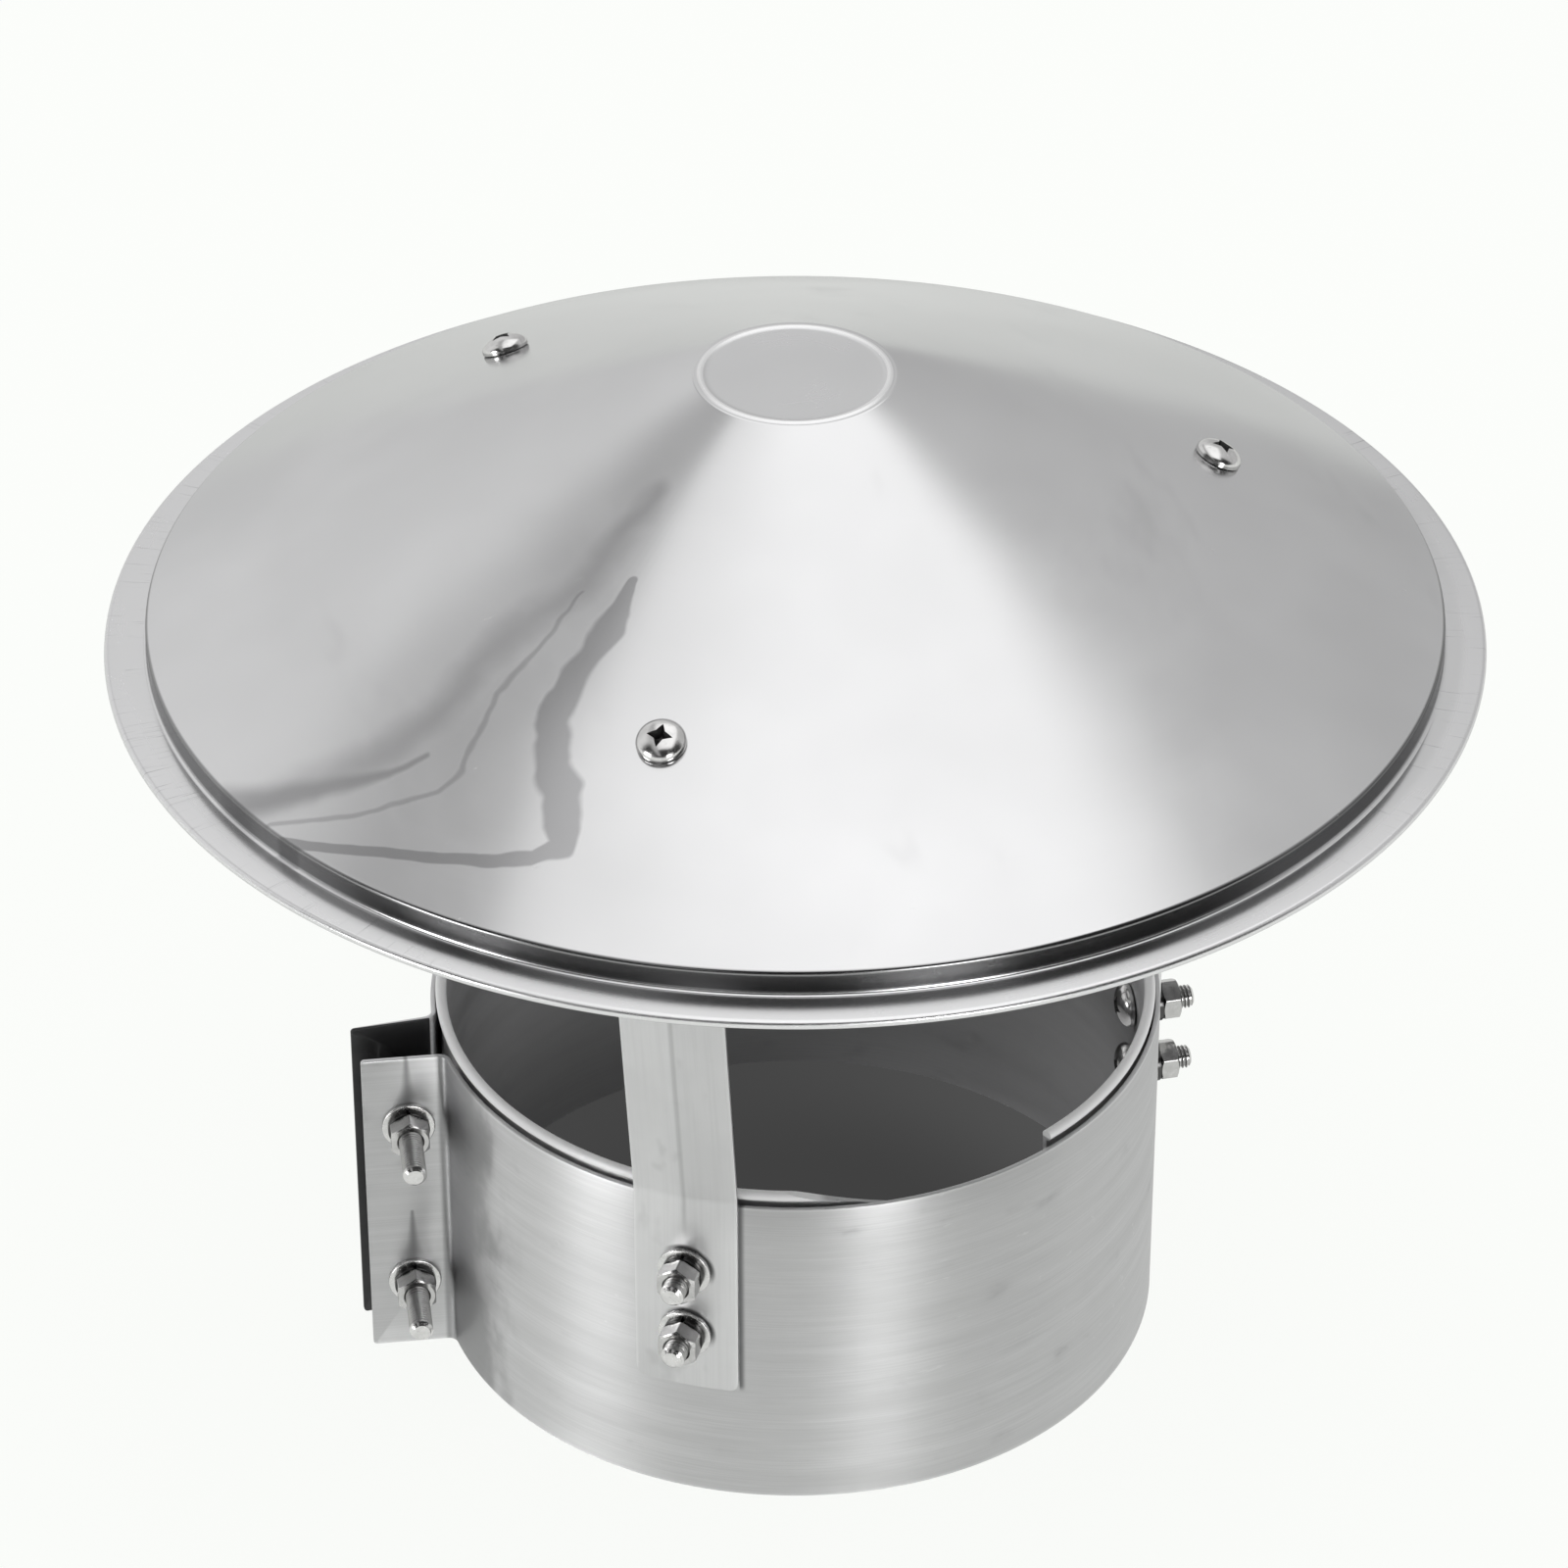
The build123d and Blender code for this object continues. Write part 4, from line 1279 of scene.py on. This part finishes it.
def pan_head(shade):
    """The pan head of a screw, standing on z = 0. The faces of its cross recess get a darker steel, as
    painted shade.
    """
    fastener = sizes_of("fastener")
    radius, top, depth = fastener.head_radius, fastener.head_height, fastener.recess_depth
    steps = 12
    slopes = [pi / 2 * step / steps for step in range(steps)]
    dome = [(radius * cos(slope), 0.22 * top + 0.78 * top * sin(slope)) for slope in slopes]
    edge = 0.2 * MM
    profile = [(0, 0), (radius - edge, 0), (radius, edge), *dome, (0, top)]
    head = lathe("pan_head", profile, (), ROUND_STEPS)
    long, wide = fastener.recess_length, fastener.recess_width
    for size in ((long, wide), (wide, long)):
        deselect()
        bpy.ops.mesh.primitive_cylinder_add(vertices=4, radius=0.5, depth=1)
        slot = bpy.context.object
        slot.data.materials.append(shade)
        edit(slot, selected=True)
        bpy.ops.transform.resize(value=(*size, depth))
        bpy.ops.transform.translate(value=(0, 0, top - depth / 2 + 0.02 * MM))
        pick(lambda place: place.z < top - 0.9 * depth, "FACE")
        bpy.ops.transform.resize(value=(0.3, 0.3, 1), center_override=(0, 0, top - depth))
        combine(head, slot, "DIFFERENCE")
    return head


def threaded_rod(rod_length, groove_shade_steel):
    """A rod with a rolled thread from z = 0 down to a chamfered tip, its root a little up in the head."""
    fastener = sizes_of("fastener")
    crest, pitch = fastener.thread_radius, fastener.pitch
    root = crest - 0.61 * pitch
    low = -rod_length - 2 * pitch
    groove = [(root, 0), (root, 0.2), (crest, 0.52), (crest, 0.68), (root, 1)]
    rod = draw_line("threaded_rod", [Vector((x, 0, low + part * pitch)) for x, part in groove])
    turns = ceil((rod_length + 1.2 * MM) / pitch) + 4
    settings = {"angle": FULL_TURN, "steps": 28, "render_steps": 28, "screw_offset": pitch}
    finish_with(rod, "SCREW", iterations=turns, axis="Z", use_smooth_shade=True, **settings)
    edit(rod)
    weld()
    off_step = pitch * 0.0137
    for level, way in ((-rod_length - off_step, -1), (MM + off_step, 1)):
        cut_off((0, 0, level), (0, 0, way))
        pick(lambda place: abs(place.z - level) < 0.001 * MM, "EDGE")
        bpy.ops.mesh.edge_face_add()
    tidy()
    wide = crest + 0.3 * MM
    tip = crest - 0.75 * MM
    shoulder = (wide - tip) * 0.8 - rod_length
    sleeve = [(0, -rod_length), (tip, -rod_length), (wide, shoulder), (wide, 2 * MM), (0, 2 * MM)]
    combine(rod, lathe("tip_chamfer", sleeve, (), 32), "INTERSECT")
    # Painted shade: the faces down in the grooves get the darker steel
    rod.data.materials.append(groove_shade_steel)
    edit(rod)
    pick(lambda place: place.to_2d().length < crest - 0.2 * MM and -rod_length + MM < place.z < 0, "FACE")
    rod.active_material_index = 1
    bpy.ops.object.material_slot_assign()
    return rod


class COWL_OT_bolts(bpy.types.Operator):
    """Makes the pan-head bolts in their four lengths, each with its thread, and sets them in place"""

    bl_idname = "cowl.bolts"
    bl_label = "Screws and bolts"

    def execute(self, context):
        fastener, collar, leg, look = (sizes_of(kind) for kind in ("fastener", "collar", "leg", "look"))
        snug = fastener.snug
        places = {}
        for side, azimuth in LEG_AZIMUTHS.items():
            places[f"cap_screw_{side}"] = cone_seat(azimuth, -snug), fastener.cap_screw_tip + snug
            for row, height in leg_bolt_heights().items():
                wall = liner_radius(height + fastener.head_radius)
                inside = wall - wall_sag(fastener.head_radius, wall) - snug
                place = wall_seat(inside, azimuth, height, outwards=False)
                places[f"leg_bolt_{side}_{row}"] = place, leg_outer_radius() + leg.bolt_tip - inside
        for row, height in clamp_bolt_heights().items():
            place = lifted(clamp_head_seat(height), fastener.washer_sheet + snug)
            reach = (place.translation - clamp_nut_seat(height).translation).length
            places[f"clamp_bolt_{row}"] = place, reach + collar.bolt_tip
        material = fastener_steel("bolt_steel", look.fastener, look.fastener_polish)
        # Painted shade: a near-black steel for the faces of the cross recesses
        shade = fastener_steel("recess_shade_steel", scaled(look.fastener, 0.12), 0.6)
        # Painted shade: a darker steel for the faces down in the thread's grooves
        groove_shade = fastener_steel("groove_shade_steel", scaled(look.fastener, 0.55), 0.35)
        patterns = {}
        for node, (place, reach) in places.items():
            size = round(reach / MM, 3)
            if size not in patterns:
                patterns[size] = pan_head(shade)
                combine(patterns[size], threaded_rod(reach, groove_shade), "UNION")
            settle(copy_to(patterns[size], f"turned_{node}", place), node, material)
        for pattern in patterns.values():
            bpy.data.objects.remove(pattern)
        return {"FINISHED"}


def floor_material():
    """White to the camera with the object's shadow kept, and painted shade on the floor inside the collar,
    near black and lighter towards the right.
    """
    collar = sizes_of("collar")
    material, wire = new_material("pale_floor")
    x, y, z = wire.node("ShaderNodeTexCoord", output="Object").parts()
    camera = wire.node("ShaderNodeLightPath", output="Is Camera Ray")
    shiny = camera.other("Is Glossy Ray")
    seen = (camera + shiny + camera.other("Is Transmission Ray")).maths("MINIMUM", 1.0)
    radius = from_middle(x, y)
    # Painted shade on the floor inside the collar: near black to the lamps, and dim to the camera and in
    # reflections, lighter towards the right and near the collar's wall
    inside = radius.ease(collar.bore_radius + 1.5 * MM, collar.bore_radius + 0.5 * MM)
    paint = inside.tint((0.9, 0.9, 0.895, 1.0), (0.05, 0.05, 0.052, 1.0))
    matt = wire.node("ShaderNodeBsdfDiffuse", None, {"Color": paint})
    right_side = photo_right(x, y).ease(-30 * MM, 75 * MM)
    edge = radius.ease(35 * MM, 75 * MM)
    dim = shiny * (right_side * 0.4 + 0.14) + edge * (right_side * 0.025 + 0.006) + 0.053
    white = inside.tint(PAPER_WHITE, grey(1.0)).times(1 - inside * (1 - dim))
    white = wire.node("ShaderNodeEmission", None, {"Color": white})
    share_white = seen * (0.92 + inside * 0.08)
    shader = wire.node("ShaderNodeMixShader", None, {0: share_white, 1: matt, 2: white})
    wire.node("ShaderNodeOutputMaterial", None, {"Surface": shader})
    return material


def studio_world(plain_light):
    """An even pale light, and for the steel a plain studio: pale walls, a soft box, dim behind the camera."""
    world = bpy.data.worlds.new("pale_studio")
    world.use_nodes = True
    world.cycles.sampling_method = "NONE"
    world.node_tree.nodes.clear()
    wire = Wire(world.node_tree)
    x, y, z = wire.node("ShaderNodeTexCoord", output="Generated").placed(turn=PHOTO_TURN).parts()
    high = z.maths("MAXIMUM", 0.05)
    across, along = x / high, y / high
    walls = x.ease(-0.3, 0.35).tint(grey(0.88), grey(0.63))
    camera_side = y.ease(0.05, -0.3) * z.ease(0.02, 0.15)
    bearing = x.maths("ARCTAN2", y * -1)
    left_strip = bearing.ease(radians(-74), radians(-62)) * bearing.ease(radians(-42), radians(-52))
    right_strip = bearing.ease(radians(11), radians(19)) * bearing.ease(radians(36), radians(28))
    strips = (left_strip + right_strip) * z.ease(-0.02, 0.01) * z.ease(0.36, 0.26)
    box_tone = across.ease(-0.42, 0.02).tint(grey(0.8), grey(1.0))
    above = z.ease(0.25, 0.4)
    box = across.ease(-0.44, -0.38) * across.ease(0.68, 0.46) * along.ease(1.2, 0.9) * along.ease(-0.9, -0.6)
    box = box * above
    seam = across.ease(-0.92, -0.6) * across.ease(-0.38, -0.45) * along.ease(2.0, 1.2) * above
    studio = painted(
        walls,
        (camera_side, grey(0.05)),
        (strips, grey(1.0)),
        (seam, grey(0.52)),
        (box, box_tone),
        (z.ease(0.0, -0.05), PAPER_WHITE),
    )
    boost = 1 + box * 0.36 + strips * 7.0
    plain = wire.node("ShaderNodeBackground", None, {"Color": grey(1.0), "Strength": plain_light})
    mirrored = wire.node("ShaderNodeBackground", None, {"Color": studio.times(boost)})
    white = wire.node("ShaderNodeBackground", None, {"Color": PAPER_WHITE, "Strength": 1.0})
    camera = wire.node("ShaderNodeLightPath", output="Is Camera Ray")
    sharp = (camera.other("Is Glossy Ray") + camera.other("Is Transmission Ray")).maths("MINIMUM", 1.0)
    light = wire.node("ShaderNodeMixShader", None, {0: sharp, 1: plain, 2: mirrored})
    light = wire.node("ShaderNodeMixShader", None, {0: camera, 1: light, 2: white})
    wire.node("ShaderNodeOutputWorld", None, {"Surface": light})
    bpy.context.scene.world = world


class COWL_OT_stage(bpy.types.Operator):
    """Lays the pale floor, hangs the soft lamp and sets the camera where the photograph was taken"""

    bl_idname = "cowl.stage"
    bl_label = "Stage"

    def execute(self, context):
        stage = sizes_of("stage")
        deselect()
        bpy.ops.mesh.primitive_plane_add(size=stage.floor_size)
        floor = context.object
        floor.name = "floor"
        floor.data.materials.append(floor_material())
        studio_world(stage.plain_light)
        deselect()
        bpy.ops.object.light_add(type="AREA")
        lamp = context.object
        lamp.name = "soft_lamp"
        lamp.visible_glossy = False
        lamp.data.shape = "SQUARE"
        lamp.data.size = stage.lamp_size
        lamp.data.energy = stage.lamp_power
        lamp.location = Matrix.Rotation(-PHOTO_TURN, 4, "Z") @ Vector((0.2, 0.3, stage.lamp_height))
        lamp.rotation_euler = lamp.location.to_track_quat("Z", "Y").to_euler()
        level_way = cos(CAMERA_PITCH)
        forward = Vector((sin(CAMERA_YAW) * level_way, cos(CAMERA_YAW) * level_way, -sin(CAMERA_PITCH)))
        right = forward.cross(UP).normalized()
        upward = right.cross(forward)
        axes = [
            right * cos(CAMERA_ROLL) + upward * sin(CAMERA_ROLL),
            upward * cos(CAMERA_ROLL) - right * sin(CAMERA_ROLL),
            -forward,
        ]
        bpy.ops.object.camera_add()
        camera = context.object
        camera.name = "photo_camera"
        camera.data.lens = CAMERA_LENS
        camera.data.sensor_width = 36
        camera.data.clip_end = 50
        aimed = Matrix.Translation(CAMERA_PLACE) @ Matrix(axes).transposed().to_4x4()
        camera.matrix_world = Matrix.Rotation(-PHOTO_TURN, 4, "Z") @ aimed
        context.scene.camera = camera
        context.scene.view_settings.view_transform = "Standard"
        return {"FINISHED"}


class COWL_PT_panel(bpy.types.Panel):
    """The cowl's tools and sizes in the sidebar"""

    bl_label = "Rain Cowl"
    bl_idname = "COWL_PT_panel"
    bl_space_type = "VIEW_3D"
    bl_region_type = "UI"
    bl_category = "Cowl"

    def draw(self, context):
        for operator in OPERATORS:
            self.layout.operator(operator.bl_idname)
        for kind, group in GROUPS.items():
            box = self.layout.box()
            box.label(text=kind.capitalize())
            for name in group.__annotations__:
                box.prop(sizes_of(kind), name)


GROUPS = {
    "cap": CapSizes,
    "collar": CollarSizes,
    "leg": LegSizes,
    "fastener": FastenerSizes,
    "look": SteelLook,
    "stage": StageSettings,
}
OPERATORS = [
    COWL_OT_cap,
    COWL_OT_band,
    COWL_OT_liner,
    COWL_OT_legs,
    COWL_OT_washers,
    COWL_OT_nuts,
    COWL_OT_bolts,
    COWL_OT_stage,
]


def register():
    for group in GROUPS.values():
        bpy.utils.register_class(group)
    for kind, group in GROUPS.items():
        setattr(bpy.types.Scene, f"cowl_{kind}", PointerProperty(type=group))
    for tool in [*OPERATORS, COWL_PT_panel]:
        bpy.utils.register_class(tool)


def unregister():
    for tool in [COWL_PT_panel, *reversed(OPERATORS)]:
        bpy.utils.unregister_class(tool)
    for kind, group in GROUPS.items():
        delattr(bpy.types.Scene, f"cowl_{kind}")
        bpy.utils.unregister_class(group)


def main():
    register()
    bpy.ops.cowl.cap()
    bpy.ops.cowl.band()
    bpy.ops.cowl.liner()
    bpy.ops.cowl.legs()
    bpy.ops.cowl.washers()
    bpy.ops.cowl.nuts()
    bpy.ops.cowl.bolts()
    bpy.ops.cowl.stage()
    deselect()


if __name__ == "__main__":
    main()
